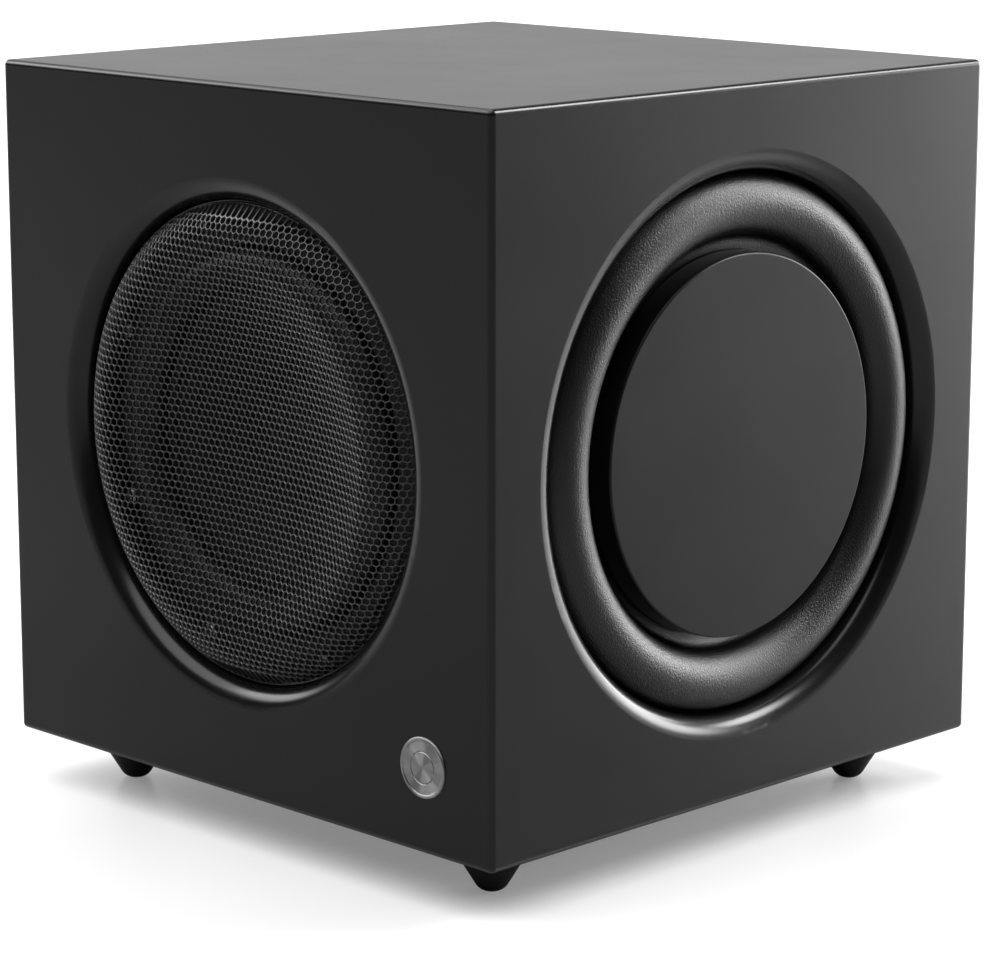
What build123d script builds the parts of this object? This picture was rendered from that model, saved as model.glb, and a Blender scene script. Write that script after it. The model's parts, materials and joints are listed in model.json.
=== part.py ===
"""Compact cube subwoofer: front woofer behind a dished grille, side passive radiator, rear amplifier.

Millimetres. The origin is on the floor under the middle of the cabinet, +Z is up and the grille faces -Y.
Driver outlines are written as (radius, height) pairs, where height is counted outwards from the outer
face of the panel that carries the driver, so everything inside the cabinet has a negative height.
"""

import os
from math import asin, cos, radians, sin, tan

from build123d import *

# ---- driving dimensions ----
cabinet = 250.0  # outer edge length of the cube
foot_height = 19.0  # floor to the underside of the cabinet
board = 18.0  # MDF thickness
edge_radius = 2.0  # softened outer edges
roundover = 8.0  # quarter round into both round openings
proud = 1.5  # how far the grille's crest and the knobs stand out of their faces
glue_gap = 0.05  # radial gap in glued or tapped round joints
moving_gap = 0.3  # gap between a moving piece and the fixed soft piece glued to it

half = cabinet / 2
centre_z = foot_height + half
floor_z = foot_height + board  # upper side of the bottom panel
ceiling_z = foot_height + cabinet - board  # underside of the top panel
inner_half = half - board
inner_height = ceiling_z - floor_z

# ---- work planes: local z points out of the cabinet on the first three ----
front = Plane(origin=(0, -half, centre_z), x_dir=(1, 0, 0), z_dir=(0, -1, 0))
side = Plane(origin=(half, 0, centre_z), x_dir=(0, 1, 0), z_dir=(1, 0, 0))
rear = Plane(origin=(0, half, centre_z), x_dir=(-1, 0, 0), z_dir=(0, 1, 0))
front_profile = Plane(origin=front.origin, x_dir=(1, 0, 0), z_dir=(0, 0, -1))
side_profile = Plane(origin=side.origin, x_dir=(0, 1, 0), z_dir=(0, 0, -1))
front_axis = Axis(front.origin, front.z_dir)
side_axis = Axis(side.origin, side.z_dir)

os.makedirs("parts", exist_ok=True)


def save(piece, label):
    """Label a finished piece and write it as parts/label.step."""
    piece.part.label = label
    export_step(piece.part, f"parts/{label}.step")


def bend_radii(points):
    """Largest fair bend at each inner corner of a lead: 0.45 of the shorter run over tan(half the turn)."""
    radii = []
    for before, corner, after in zip(points, points[1:], points[2:]):
        run_in = Vector(*corner) - Vector(*before)
        run_out = Vector(*after) - Vector(*corner)
        turn = radians(run_in.get_angle(run_out))
        radii.append(0.45 * min(run_in.length, run_out.length) / tan(turn / 2))
    return radii


# =====================================================================================
# Cabinet
# =====================================================================================
woofer_wall = 84.7  # radius of the opening in front of the woofer
radiator_wall = 94.7
radiator_seat = -12.3  # height of the rebate floor that the radiator's frame presses on
frame_outer = 104.0  # radiator frame
rebate_clearance = 0.3
badge_radius = 10.5
badge_place = (93.0, 49.0 - centre_z)
badge_recess = 1.0
stud_radius = 3.0
stud_bottom = 7.0
stud_top = 35.0
foot_place = 94.7  # feet from the middle, both ways
woofer_screw_circle = 79.5
woofer_screw_count = 8
wood_screw_radius = 1.75
doubler_size = 183.0
doubler_hole = 73.0
woofer_screw_depth = 17.0
radiator_screw_circle = 100.8
radiator_screw_count = 8
radiator_screw_radius = 1.6
radiator_screw_length = 12.0
radiator_screw_hole = 7.0  # into the back of the right panel
radiator_head_radius = 3.0
radiator_head_height = 2.0
radiator_key = 1.4  # hexagon socket: corner radius, and its depth
first_screw = 22.5  # degrees round from the first axis, so that no screw stands on an axis
amp_plate = (180.0, 166.0)
amp_opening = (164.0, 150.0)
amp_rebate = 4.2
amp_gap = 0.4  # round the amplifier plate in its rebate
amp_screw_radius = 1.6
amp_screw_length = 14.0
amp_screw_hole = 12.0  # below the rebate
amp_corner = 4.0
amp_screw_places = [(u, v) for u in (-86, 0, 86) for v in (-79, 0, 79) if (u, v) != (0, 0)]
cut_over = 1.0  # how far cutting bodies run past a face

with BuildPart() as cabinet_block:
    with Locations((0, 0, centre_z)):
        Box(cabinet, cabinet, cabinet)
    fillet(cabinet_block.edges(), edge_radius)

with BuildPart() as top_panel:
    add(cabinet_block.part)
    with Locations((0, 0, ceiling_z + board / 2)):
        Box(cabinet, cabinet, board, mode=Mode.INTERSECT)
save(top_panel, "top_panel")

with BuildPart() as bottom_panel:
    add(cabinet_block.part)
    with Locations((0, 0, floor_z - board / 2)):
        Box(cabinet, cabinet, board, mode=Mode.INTERSECT)
    with BuildSketch(Plane.XY.offset(foot_height)):
        with GridLocations(2 * foot_place, 2 * foot_place, 2, 2):
            Circle(stud_radius + glue_gap)
    extrude(amount=stud_top - foot_height, mode=Mode.SUBTRACT)
save(bottom_panel, "bottom_panel")

with BuildPart() as left_panel:
    add(cabinet_block.part)
    with Locations((board / 2 - half, 0, centre_z)):
        Box(board, 2 * inner_half, inner_height, mode=Mode.INTERSECT)
save(left_panel, "left_panel")


def roundover_points(wall):
    """Start, middle and end of the quarter round between a flat face and a round wall."""
    short = roundover * (1 - cos(radians(45)))
    return (wall + roundover, 0), (wall + short, -short), (wall, -roundover)


with BuildPart() as front_baffle:
    add(cabinet_block.part)
    with Locations((0, board / 2 - half, centre_z)):
        Box(cabinet, board, inner_height, mode=Mode.INTERSECT)
    with BuildSketch(front_profile):
        with BuildLine():
            mouth = roundover_points(woofer_wall)
            ThreePointArc(*mouth)
            Polyline(
                mouth[2],
                (woofer_wall, -board - cut_over),
                (0, -board - cut_over),
                (0, cut_over),
                (woofer_wall + roundover, cut_over),
                mouth[0],
            )
        make_face()
    revolve(axis=front_axis, mode=Mode.SUBTRACT)
    with BuildSketch(front):
        with Locations(badge_place):
            Circle(badge_radius + glue_gap)
    extrude(amount=-badge_recess, mode=Mode.SUBTRACT)
save(front_baffle, "front_baffle")

with BuildPart() as right_baffle:
    add(cabinet_block.part)
    with Locations((half - board / 2, 0, centre_z)):
        Box(board, 2 * inner_half, inner_height, mode=Mode.INTERSECT)
    with BuildSketch(side_profile):
        with BuildLine():
            mouth = roundover_points(radiator_wall)
            ThreePointArc(*mouth)
            Polyline(
                mouth[2],
                (radiator_wall, radiator_seat),
                (frame_outer + rebate_clearance, radiator_seat),
                (frame_outer + rebate_clearance, -board - cut_over),
                (0, -board - cut_over),
                (0, cut_over),
                (radiator_wall + roundover, cut_over),
                mouth[0],
            )
        make_face()
    revolve(axis=side_axis, mode=Mode.SUBTRACT)
    with BuildSketch(side.offset(radiator_seat)):
        with PolarLocations(radiator_screw_circle, radiator_screw_count, start_angle=first_screw):
            Circle(radiator_screw_radius + glue_gap)
    extrude(amount=radiator_screw_hole, mode=Mode.SUBTRACT)
save(right_baffle, "right_baffle")

with BuildPart() as back_panel:
    add(cabinet_block.part)
    with Locations((0, half - board / 2, centre_z)):
        Box(cabinet, board, inner_height, mode=Mode.INTERSECT)
    with BuildSketch(rear):
        Rectangle(*amp_opening)
    extrude(amount=-board, mode=Mode.SUBTRACT)
    with BuildSketch(rear):
        RectangleRounded(
            amp_plate[0] + 2 * amp_gap, amp_plate[1] + 2 * amp_gap, amp_corner + amp_gap
        )
    extrude(amount=-amp_rebate, mode=Mode.SUBTRACT)
    with BuildSketch(rear.offset(-amp_rebate)):
        with Locations(*amp_screw_places):
            Circle(amp_screw_radius + glue_gap)
    extrude(amount=-amp_screw_hole, mode=Mode.SUBTRACT)
save(back_panel, "back_panel")

with BuildPart() as baffle_doubler:
    with BuildSketch(front.offset(-board)):
        Rectangle(doubler_size, doubler_size)
        Circle(doubler_hole, mode=Mode.SUBTRACT)
        with PolarLocations(woofer_screw_circle, woofer_screw_count, start_angle=first_screw):
            Circle(wood_screw_radius + glue_gap, mode=Mode.SUBTRACT)
    extrude(amount=-board)
save(baffle_doubler, "baffle_doubler")

batten = 15.0
batten_place = inner_half - batten / 2
with BuildPart() as glue_battens:
    with BuildSketch(Plane.XZ.offset(inner_half)):
        for z in (floor_z + batten / 2, ceiling_z - batten / 2):
            with Locations((-batten_place, z), (batten_place, z)):
                Rectangle(batten, batten)
    extrude(amount=-2 * inner_half)
save(glue_battens, "glue_battens")

# ---- feet: soft cones with a moulded-in stud ----
foot_top = 14.9
foot_tip = 4.2
foot_tip_round = 5.0
foot_cone_top = 17.8
with BuildPart() as foot:
    with BuildSketch(Plane.XZ) as foot_outline:
        with BuildLine():
            Polyline(
                (0, 0),
                (foot_tip, 0),
                (foot_top, foot_cone_top),
                (foot_top, foot_height),
                (0, foot_height),
                close=True,
            )
        make_face()
        tip_corner = foot_outline.vertices().group_by(Axis.Y)[0].sort_by(Axis.X)[-1]
        fillet(tip_corner, foot_tip_round)
    revolve(axis=Axis.Z)
    with BuildSketch(Plane.XY.offset(stud_bottom)):
        Circle(stud_radius + glue_gap)
    extrude(amount=foot_height - stud_bottom, mode=Mode.SUBTRACT)

foot_places = {
    "foot_front_left": (-foot_place, -foot_place),
    "foot_front_right": (foot_place, -foot_place),
    "foot_rear_left": (-foot_place, foot_place),
    "foot_rear_right": (foot_place, foot_place),
}
for label, place in foot_places.items():
    with BuildPart() as placed_foot:
        with Locations(place):
            add(foot.part)
    save(placed_foot, label)

with BuildPart() as foot_studs:
    with BuildSketch(Plane.XY.offset(stud_bottom)):
        with GridLocations(2 * foot_place, 2 * foot_place, 2, 2):
            Circle(stud_radius)
    extrude(amount=stud_top - stud_bottom)
save(foot_studs, "foot_studs")

# ---- badge: a plain turned disc with one ring groove ----
badge_height = 0.7
badge_rim = 9.4
badge_dish = 0.25
badge_groove = (5.2, 5.8)
badge_chamfer = 0.3
with BuildPart() as front_badge:
    with BuildSketch(front.offset(-badge_recess)):
        with Locations(badge_place):
            Circle(badge_radius)
    extrude(amount=badge_recess + badge_height)
    chamfer(front_badge.edges().group_by(Axis.Y)[0], badge_chamfer)
    with BuildSketch(front.offset(badge_height)):
        with Locations(badge_place):
            Circle(badge_rim)
    extrude(amount=-badge_dish, mode=Mode.SUBTRACT)
    with BuildSketch(front.offset(badge_height - badge_dish)):
        with Locations(badge_place):
            Circle(badge_groove[1])
            Circle(badge_groove[0], mode=Mode.SUBTRACT)
    extrude(amount=-badge_dish, mode=Mode.SUBTRACT)
save(front_badge, "front_badge")

# =====================================================================================
# Grille: a dished middle, a raised crest ring and a rounded shoulder down to the rim
# =====================================================================================
grille_rim = 84.0
grille_sheet = 1.0
dish_radius = 280.0
flank_radius = 130.0
crest_radius = 20.0
dish_angle = radians(6.5)  # slope where the dish meets the flank
flank_angle = radians(20.0)  # slope where the flank meets the crest
crest_centre_r = (
    (dish_radius - flank_radius) * sin(dish_angle) + (flank_radius + crest_radius) * sin(flank_angle)
)
crest_centre_h = proud - crest_radius
rim_angle = asin((grille_rim - crest_centre_r) / crest_radius)
flank_centre = (
    crest_centre_r - (flank_radius + crest_radius) * sin(flank_angle),
    crest_centre_h + (flank_radius + crest_radius) * cos(flank_angle),
)
dish_centre = (
    flank_centre[0] - (dish_radius - flank_radius) * sin(dish_angle),
    flank_centre[1] + (dish_radius - flank_radius) * cos(dish_angle),
)


def below(centre, radius, angle):
    """Point on an arc that opens outwards, at a slope of angle."""
    return centre[0] + radius * sin(angle), centre[1] - radius * cos(angle)


def grille_points(depth):
    """Points on the grille's section, depth mm behind its front face, from the middle to the rim."""
    crest_centre = (crest_centre_r, crest_centre_h)
    flank_middle = (dish_angle + flank_angle) / 2
    crest_middle = (rim_angle - flank_angle) / 2
    return [
        below(dish_centre, dish_radius + depth, 0),
        below(dish_centre, dish_radius + depth, dish_angle / 2),
        below(dish_centre, dish_radius + depth, dish_angle),
        below(flank_centre, flank_radius + depth, flank_middle),
        below(flank_centre, flank_radius + depth, flank_angle),
        below(crest_centre, depth - crest_radius, -crest_middle),
        below(crest_centre, depth - crest_radius, -rim_angle),
    ]


with BuildPart() as grille_mesh:
    with BuildSketch(front_profile):
        with BuildLine():
            outside = grille_points(0)
            inside = grille_points(grille_sheet)
            for face in (outside, inside):
                for start in (0, 2, 4):
                    ThreePointArc(*face[start : start + 3])
            Line(outside[0], inside[0])
            Line(outside[-1], inside[-1])
        make_face()
    revolve(axis=front_axis)
save(grille_mesh, "grille_mesh")

screw_head_radius = 3.2
screw_head_height = 2.6
screw_head_round = 1.0
screw_key = (1.5, 1.4)  # hexagon socket: corner radius and depth
flange_front = -15.0
grille_ring_outer = 84.4
grille_ring_width = 3.4
with BuildPart() as grille_ring:
    ring_top = inside[-1][1] - 0.1
    with BuildSketch(front.offset(flange_front + screw_head_height)):
        Circle(grille_ring_outer)
        Circle(grille_ring_outer - grille_ring_width, mode=Mode.SUBTRACT)
    extrude(amount=ring_top - flange_front - screw_head_height)
save(grille_ring, "grille_ring")

# =====================================================================================
# Woofer, bolted to the doubler behind the front baffle
# =====================================================================================
woofer_flange = 84.2
wall_top = 69.0  # inner edge of the flange
spider_ledge = -44.0
motor_front = -58.0  # back of the basket, where the magnet system starts
basket_step = 72.4  # outside of the wall behind the flange
basket_shoulder = -24.0  # height where the wall turns into the spokes
basket_floor = 2.5
motor_hole = 24.0
spoke_count = 6
spoke_corner = 4.0
flange_screw_hole = 2.1
with BuildPart() as woofer_basket:
    with BuildSketch(front_profile):
        with BuildLine():
            Polyline(
                (woofer_flange, flange_front),
                (woofer_flange, -board),
                (basket_step, -board),
                (basket_step, basket_shoulder),
                (54, -46),
                (47, motor_front),
                (motor_hole, motor_front),
                (motor_hole, motor_front + basket_floor),
                (44.5, motor_front + basket_floor),
                (46.5, spider_ledge - 2),
                (46.5, spider_ledge),
                (52, spider_ledge),
                (wall_top, basket_shoulder),
                (wall_top, flange_front),
                close=True,
            )
        make_face()
    revolve(axis=front_axis)
    with BuildSketch(front.offset(basket_shoulder - 2)):
        with PolarLocations(62, spoke_count):
            RectangleRounded(34, 46, spoke_corner)
    extrude(amount=spider_ledge + 28, mode=Mode.SUBTRACT)
    with BuildSketch(front.offset(flange_front)):
        with PolarLocations(woofer_screw_circle, woofer_screw_count, start_angle=first_screw):
            Circle(flange_screw_hole)
    extrude(amount=-board - flange_front - cut_over, mode=Mode.SUBTRACT)
save(woofer_basket, "woofer_basket")


def draw_roll(centre, radius, sheet, base, lip_inner, lip_outer):
    """Draw the section of a half-roll suspension ring with a flat lip on each side, inside a BuildLine."""
    top = base + sheet
    bore = radius - sheet
    ThreePointArc((centre + radius, top), (centre, top + radius), (centre - radius, top))
    Polyline(
        (centre - radius, top),
        (lip_inner, top),
        (lip_inner, base),
        (centre - bore, base),
        (centre - bore, top),
    )
    ThreePointArc((centre - bore, top), (centre, top + bore), (centre + bore, top))
    Polyline(
        (centre + bore, top),
        (centre + bore, base),
        (lip_outer, base),
        (lip_outer, top),
        (centre + radius, top),
    )


def draw_ripples(inner, outer, middle, sheet, swing, count, lip):
    """Draw the section of a rippled suspension disc with flat lips, inside a BuildLine."""
    start = inner + lip
    pitch = (outer - lip - start) / count
    for height in (middle - sheet / 2, middle + sheet / 2):
        for index in range(count):
            left = start + index * pitch
            crest = height + swing * (-1) ** index
            ThreePointArc((left, height), (left + pitch / 2, crest), (left + pitch, height))
        Line((inner, height), (start, height))
        Line((outer - lip, height), (outer, height))
    for radius in (inner, outer):
        Line((radius, middle - sheet / 2), (radius, middle + sheet / 2))


roll_centre = 60.0
roll_radius = 8.0
rubber = 1.0
surround_inner = 49.0
surround_outer = 75.5
gasket_inner = 68.8
gasket_sheet = 1.4
lip_top = flange_front + rubber
with BuildPart() as woofer_surround:
    with BuildSketch(front_profile):
        with BuildLine():
            draw_roll(
                roll_centre, roll_radius, rubber, flange_front, surround_inner, surround_outer
            )
        make_face()
    revolve(axis=front_axis)
save(woofer_surround, "woofer_surround")

with BuildPart() as woofer_gasket:
    with BuildSketch(front.offset(lip_top)):
        Circle(surround_outer)
        Circle(gasket_inner, mode=Mode.SUBTRACT)
    extrude(amount=gasket_sheet)
save(woofer_gasket, "woofer_gasket")

with BuildPart() as woofer_screws:
    with BuildSketch(front.offset(flange_front)):
        with PolarLocations(woofer_screw_circle, woofer_screw_count, start_angle=first_screw):
            Circle(screw_head_radius)
    extrude(amount=screw_head_height)
    fillet(woofer_screws.edges().group_by(Axis.Y)[0], screw_head_round)
    with BuildSketch(front.offset(flange_front)):
        with PolarLocations(woofer_screw_circle, woofer_screw_count, start_angle=first_screw):
            Circle(wood_screw_radius)
    extrude(amount=-woofer_screw_depth)
    with BuildSketch(front.offset(flange_front + screw_head_height)):
        with PolarLocations(woofer_screw_circle, woofer_screw_count, start_angle=first_screw):
            RegularPolygon(screw_key[0], 6)
    extrude(amount=-screw_key[1], mode=Mode.SUBTRACT)
save(woofer_screws, "woofer_screws")

# ---- moving assembly: cone, dust cap, former and coil ----
former_inner = 18.6
former_outer = 18.9
former_back = -69.5
former_length = 31.0
cone_rim = 51.6
cone_front = flange_front - moving_gap
cone_neck = -40.0
cone_sheet = 1.2
with BuildPart() as woofer_cone:
    neck = former_outer + glue_gap
    with BuildSketch(front_profile):
        with BuildLine():
            Polyline(
                (cone_rim, cone_front),
                (48.6, cone_front),
                (neck, cone_neck),
                (neck, cone_neck - cone_sheet),
                (49.2, cone_front - cone_sheet),
                (cone_rim, cone_front - cone_sheet),
                close=True,
            )
        make_face()
    revolve(axis=front_axis)
save(woofer_cone, "woofer_cone")

cap_radius = 25.6
cap_apex = -27.5
cap_edge = -34.2
cap_sheet = 0.8
with BuildPart() as dust_cap:
    sagitta = cap_apex - cap_edge
    dome = (cap_radius**2 + sagitta**2) / (2 * sagitta)
    bow = asin(cap_radius / dome) / 2
    with BuildSketch(front_profile):
        with BuildLine():
            for drop in (0, cap_sheet):
                ThreePointArc(
                    (0, cap_apex - drop),
                    (dome * sin(bow), cap_apex - dome * (1 - cos(bow)) - drop),
                    (cap_radius - drop, cap_edge + drop * tan(2 * bow) - drop),
                )
            Line((0, cap_apex), (0, cap_apex - cap_sheet))
            Line((cap_radius, cap_edge), (cap_radius - cap_sheet, cap_edge + cap_sheet * (tan(2 * bow) - 1)))
        make_face()
    revolve(axis=front_axis)
save(dust_cap, "dust_cap")

with BuildPart() as coil_former:
    with BuildSketch(front.offset(former_back)):
        Circle(former_outer)
        Circle(former_inner, mode=Mode.SUBTRACT)
    extrude(amount=former_length)
save(coil_former, "coil_former")

coil_outer = 20.1
coil_length = 16.0
with BuildPart() as voice_coil:
    with BuildSketch(front.offset(former_back + 0.5)):
        Circle(coil_outer)
        Circle(former_outer + glue_gap, mode=Mode.SUBTRACT)
    extrude(amount=coil_length)
save(voice_coil, "voice_coil")

spider_sheet = 0.6
ripple_count = 5
with BuildPart() as woofer_spider:
    with BuildSketch(front_profile):
        with BuildLine():
            draw_ripples(
                inner=former_outer + 0.4,
                outer=50.5,
                middle=spider_ledge + spider_sheet / 2,
                sheet=spider_sheet,
                swing=1.6,
                count=ripple_count,
                lip=3.6,
            )
        make_face()
    revolve(axis=front_axis)
save(woofer_spider, "woofer_spider")

# ---- motor: top plate, ferrite ring, back plate with its pole ----
top_plate = 6.0
magnet_height = 20.0
back_plate = 8.0
magnet_front = motor_front - top_plate
magnet_back = magnet_front - magnet_height
plate_radius = 44.0
magnet_radius = 47.5
magnet_bore = 25.0
magnet_chamfer = 1.2
coil_gap = 0.7
pole_radius = 18.0
pole_front = motor_front + 0.5
vent_radius = 5.0
with BuildPart() as magnet_top_plate:
    with BuildSketch(front.offset(motor_front)):
        Circle(plate_radius)
        Circle(coil_outer + coil_gap, mode=Mode.SUBTRACT)
    extrude(amount=-top_plate)
    chamfer(magnet_top_plate.edges().group_by(Axis.Y)[0].sort_by(SortBy.LENGTH)[-1], 0.8)
save(magnet_top_plate, "magnet_top_plate")

with BuildPart() as magnet_ring:
    with BuildSketch(front.offset(magnet_front)):
        Circle(magnet_radius)
        Circle(magnet_bore, mode=Mode.SUBTRACT)
    extrude(amount=-magnet_height)
    chamfer(magnet_ring.edges(), magnet_chamfer)
save(magnet_ring, "magnet_ring")

with BuildPart() as magnet_back_plate:
    with BuildSketch(front.offset(magnet_back)):
        Circle(plate_radius)
    extrude(amount=-back_plate)
    chamfer(magnet_back_plate.edges().group_by(Axis.Y)[-1], 1.0)
    with BuildSketch(front.offset(magnet_back)):
        Circle(pole_radius)
    extrude(amount=pole_front - magnet_back)
    with BuildSketch(front.offset(pole_front)):
        Circle(vent_radius)
    extrude(amount=magnet_back - back_plate - pole_front, mode=Mode.SUBTRACT)
save(magnet_back_plate, "magnet_back_plate")

# ---- terminals on the lowest spoke, with flexible leads to the cone ----
terminal_height = -44.6
terminal_board = (24.0, 9.0, 1.6)
tab_offset = 7.0
tab_radius = 61.0
tab_size = (0.8, 4.8)
tab_length = 9.0
with BuildPart() as woofer_terminals:
    with BuildSketch(front.offset(terminal_height)):
        with Locations((0, -tab_radius)):
            Rectangle(terminal_board[0], terminal_board[1])
    extrude(amount=terminal_board[2])
    with BuildSketch(front.offset(terminal_height)):
        with Locations((-tab_offset, -tab_radius), (tab_offset, -tab_radius)):
            Rectangle(*tab_size)
    extrude(amount=-tab_length)
save(woofer_terminals, "woofer_terminals")

tinsel_radius = 0.5
with BuildPart() as tinsel_leads:
    for sign in (-1, 1):
        route = [
            (sign * 11, -58, terminal_height + terminal_board[2]),
            (sign * 11, -58, terminal_height + 5),
            (sign * 10.6, -53, terminal_height + 7),
            (sign * 10, -46, terminal_height + 8.2),
            (sign * 9, -38, terminal_height + 9.5),
        ]
        points = [tuple(front.from_local_coords(point)) for point in route]
        with BuildLine() as lead_line:
            FilletPolyline(*points, radius=bend_radii(points))
        with BuildSketch(Plane(origin=lead_line.line @ 0, z_dir=lead_line.line % 0)):
            Circle(tinsel_radius)
        sweep(path=lead_line.line)
save(tinsel_leads, "tinsel_leads")

# =====================================================================================
# Passive radiator, pressed against the right panel from inside
# =====================================================================================
seat_rubber = 1.2
lip_back = radiator_seat - seat_rubber
frame_back = -17.6
frame_wall = 84.5  # inside of the frame, under the rubber
frame_step = 97.8  # the rubber's outer lip lies inside this step
radiator_ledge = -49.5
ledge_back = radiator_ledge - 2.5
with BuildPart() as radiator_frame:
    with BuildSketch(side_profile):
        with BuildLine():
            Polyline(
                (frame_outer, radiator_seat),
                (frame_outer, frame_back),
                (88, frame_back),
                (54, ledge_back),
                (44, ledge_back),
                (44, radiator_ledge),
                (52.5, radiator_ledge),
                (frame_wall, frame_back + 0.4),
                (frame_wall, lip_back),
                (frame_step, lip_back),
                (frame_step, radiator_seat),
                close=True,
            )
        make_face()
    revolve(axis=side_axis)
    with BuildSketch(side.offset(-22)):
        with PolarLocations(70, spoke_count, start_angle=30):
            RectangleRounded(25, 50, spoke_corner)
    extrude(amount=-24, mode=Mode.SUBTRACT)
    with BuildSketch(side.offset(frame_back)):
        with PolarLocations(radiator_screw_circle, radiator_screw_count, start_angle=first_screw):
            Circle(radiator_head_radius + 0.1)
    extrude(amount=radiator_head_height, mode=Mode.SUBTRACT)
    with BuildSketch(side.offset(frame_back)):
        with PolarLocations(radiator_screw_circle, radiator_screw_count, start_angle=first_screw):
            Circle(radiator_screw_radius + glue_gap)
    extrude(amount=6, mode=Mode.SUBTRACT)
save(radiator_frame, "radiator_frame")

with BuildPart() as radiator_screws:
    with BuildSketch(side.offset(frame_back)):
        with PolarLocations(radiator_screw_circle, radiator_screw_count, start_angle=first_screw):
            Circle(radiator_head_radius)
    extrude(amount=radiator_head_height)
    with BuildSketch(side.offset(frame_back)):
        with PolarLocations(radiator_screw_circle, radiator_screw_count, start_angle=first_screw):
            Circle(radiator_screw_radius)
    extrude(amount=radiator_screw_length)
    with BuildSketch(side.offset(frame_back)):
        with PolarLocations(radiator_screw_circle, radiator_screw_count, start_angle=first_screw):
            RegularPolygon(radiator_key, 6)
    extrude(amount=radiator_key, mode=Mode.SUBTRACT)
save(radiator_screws, "radiator_screws")

with BuildPart() as radiator_surround:
    with BuildSketch(side_profile):
        with BuildLine():
            draw_roll(83.3, 11.1, seat_rubber, lip_back, 66.3, frame_step - moving_gap)
        make_face()
    revolve(axis=side_axis)
save(radiator_surround, "radiator_surround")

disc_radius = 67.0
disc_face = -2.6
disc_sheet = 3.0
disc_edge = 0.8  # rounding of the face's outer edge
disc_skirt = 62.0  # inside of the rim that comes down onto the cone
disc_foot = 66.0
cone_seat = lip_back - moving_gap
with BuildPart() as radiator_disc:
    with BuildSketch(side_profile):
        with BuildLine():
            Polyline(
                (0, disc_face),
                (disc_radius, disc_face),
                (disc_radius, radiator_seat + moving_gap),
                (disc_foot, radiator_seat + moving_gap),
                (disc_foot, cone_seat),
                (disc_skirt, cone_seat),
                (disc_skirt, disc_face - disc_sheet),
                (0, disc_face - disc_sheet),
                close=True,
            )
        make_face()
    revolve(axis=side_axis)
    fillet(radiator_disc.edges().group_by(Axis.X)[-1], disc_edge)
save(radiator_disc, "radiator_disc")

cone_outer = 71.5
cone_wall = 1.4
hub_outer = 20.5
hub_bore = 18.0
hub_web = -49.0
web_front = hub_web + 2.5
bolt_radius = 3.0
with BuildPart() as radiator_cone:
    with BuildSketch(side_profile):
        with BuildLine():
            Polyline(
                (cone_outer, cone_seat),
                (59.5, cone_seat),
                (hub_bore, web_front),
                (bolt_radius + glue_gap, web_front),
                (bolt_radius + glue_gap, hub_web),
                (hub_bore, hub_web),
                (hub_bore, hub_web - 5),
                (hub_outer, hub_web - 5),
                (hub_outer, hub_web + 1.6),
                (60, cone_seat - cone_wall),
                (cone_outer, cone_seat - cone_wall),
                close=True,
            )
        make_face()
    revolve(axis=side_axis)
save(radiator_cone, "radiator_cone")

with BuildPart() as radiator_spider:
    with BuildSketch(side_profile):
        with BuildLine():
            draw_ripples(
                inner=hub_outer + 0.5,
                outer=52.0,
                middle=radiator_ledge + spider_sheet / 2,
                sheet=spider_sheet,
                swing=1.8,
                count=ripple_count,
                lip=4.0,
            )
        make_face()
    revolve(axis=side_axis)
save(radiator_spider, "radiator_spider")

mass_height = 8.0
mass_radius = 16.8
bolt_corner = 5.5
bolt_head = 4.0
nut_height = 5.0
bolt_end = 6.0  # how far the bolt comes through the mass
with BuildPart() as tuning_mass:
    with BuildSketch(side.offset(hub_web)):
        Circle(mass_radius)
        Circle(bolt_radius + glue_gap, mode=Mode.SUBTRACT)
    extrude(amount=-mass_height)
    chamfer(tuning_mass.edges().filter_by(GeomType.CIRCLE).group_by(Axis.X)[0], 0.6)
save(tuning_mass, "tuning_mass")

with BuildPart() as mass_bolt:
    with BuildSketch(side.offset(web_front)):
        RegularPolygon(bolt_corner, 6)
    extrude(amount=bolt_head)
    with BuildSketch(side.offset(web_front)):
        Circle(bolt_radius)
    extrude(amount=hub_web - mass_height - bolt_end - web_front)
    with BuildSketch(side.offset(hub_web - mass_height)):
        RegularPolygon(bolt_corner, 6)
        Circle(bolt_radius + glue_gap, mode=Mode.SUBTRACT)
    extrude(amount=-nut_height)
save(mass_bolt, "mass_bolt")

# =====================================================================================
# Amplifier, in a rebate on the back
# =====================================================================================
plate = 3.0
skin = 2.5  # wall of the two moulded recesses
control_recess = (132.0, 64.0, 16.0)  # width, height, depth
control_middle = (0.0, 30.0)
power_recess = (132.0, 40.0, 8.0)
power_middle = (0.0, -44.0)
volume_place = (-42.0, 38.0)
crossover_place = (-8.0, 38.0)
phase_place = (28.0, 40.0)
led_place = (52.0, 44.0)
jack_places = [(22.0, 12.0), (44.0, 12.0)]
rocker_place = (-38.0, -44.0)
inlet_place = (38.0, -44.0)
control_floor = -control_recess[2]
control_inside = control_floor - skin
power_floor = -power_recess[2]
power_inside = power_floor - skin
bushing_radius = 3.9
phase_travel = 3.5
rocker_body = (15.6, 23.6)
inlet_body = (29.6, 16.6)

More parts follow.
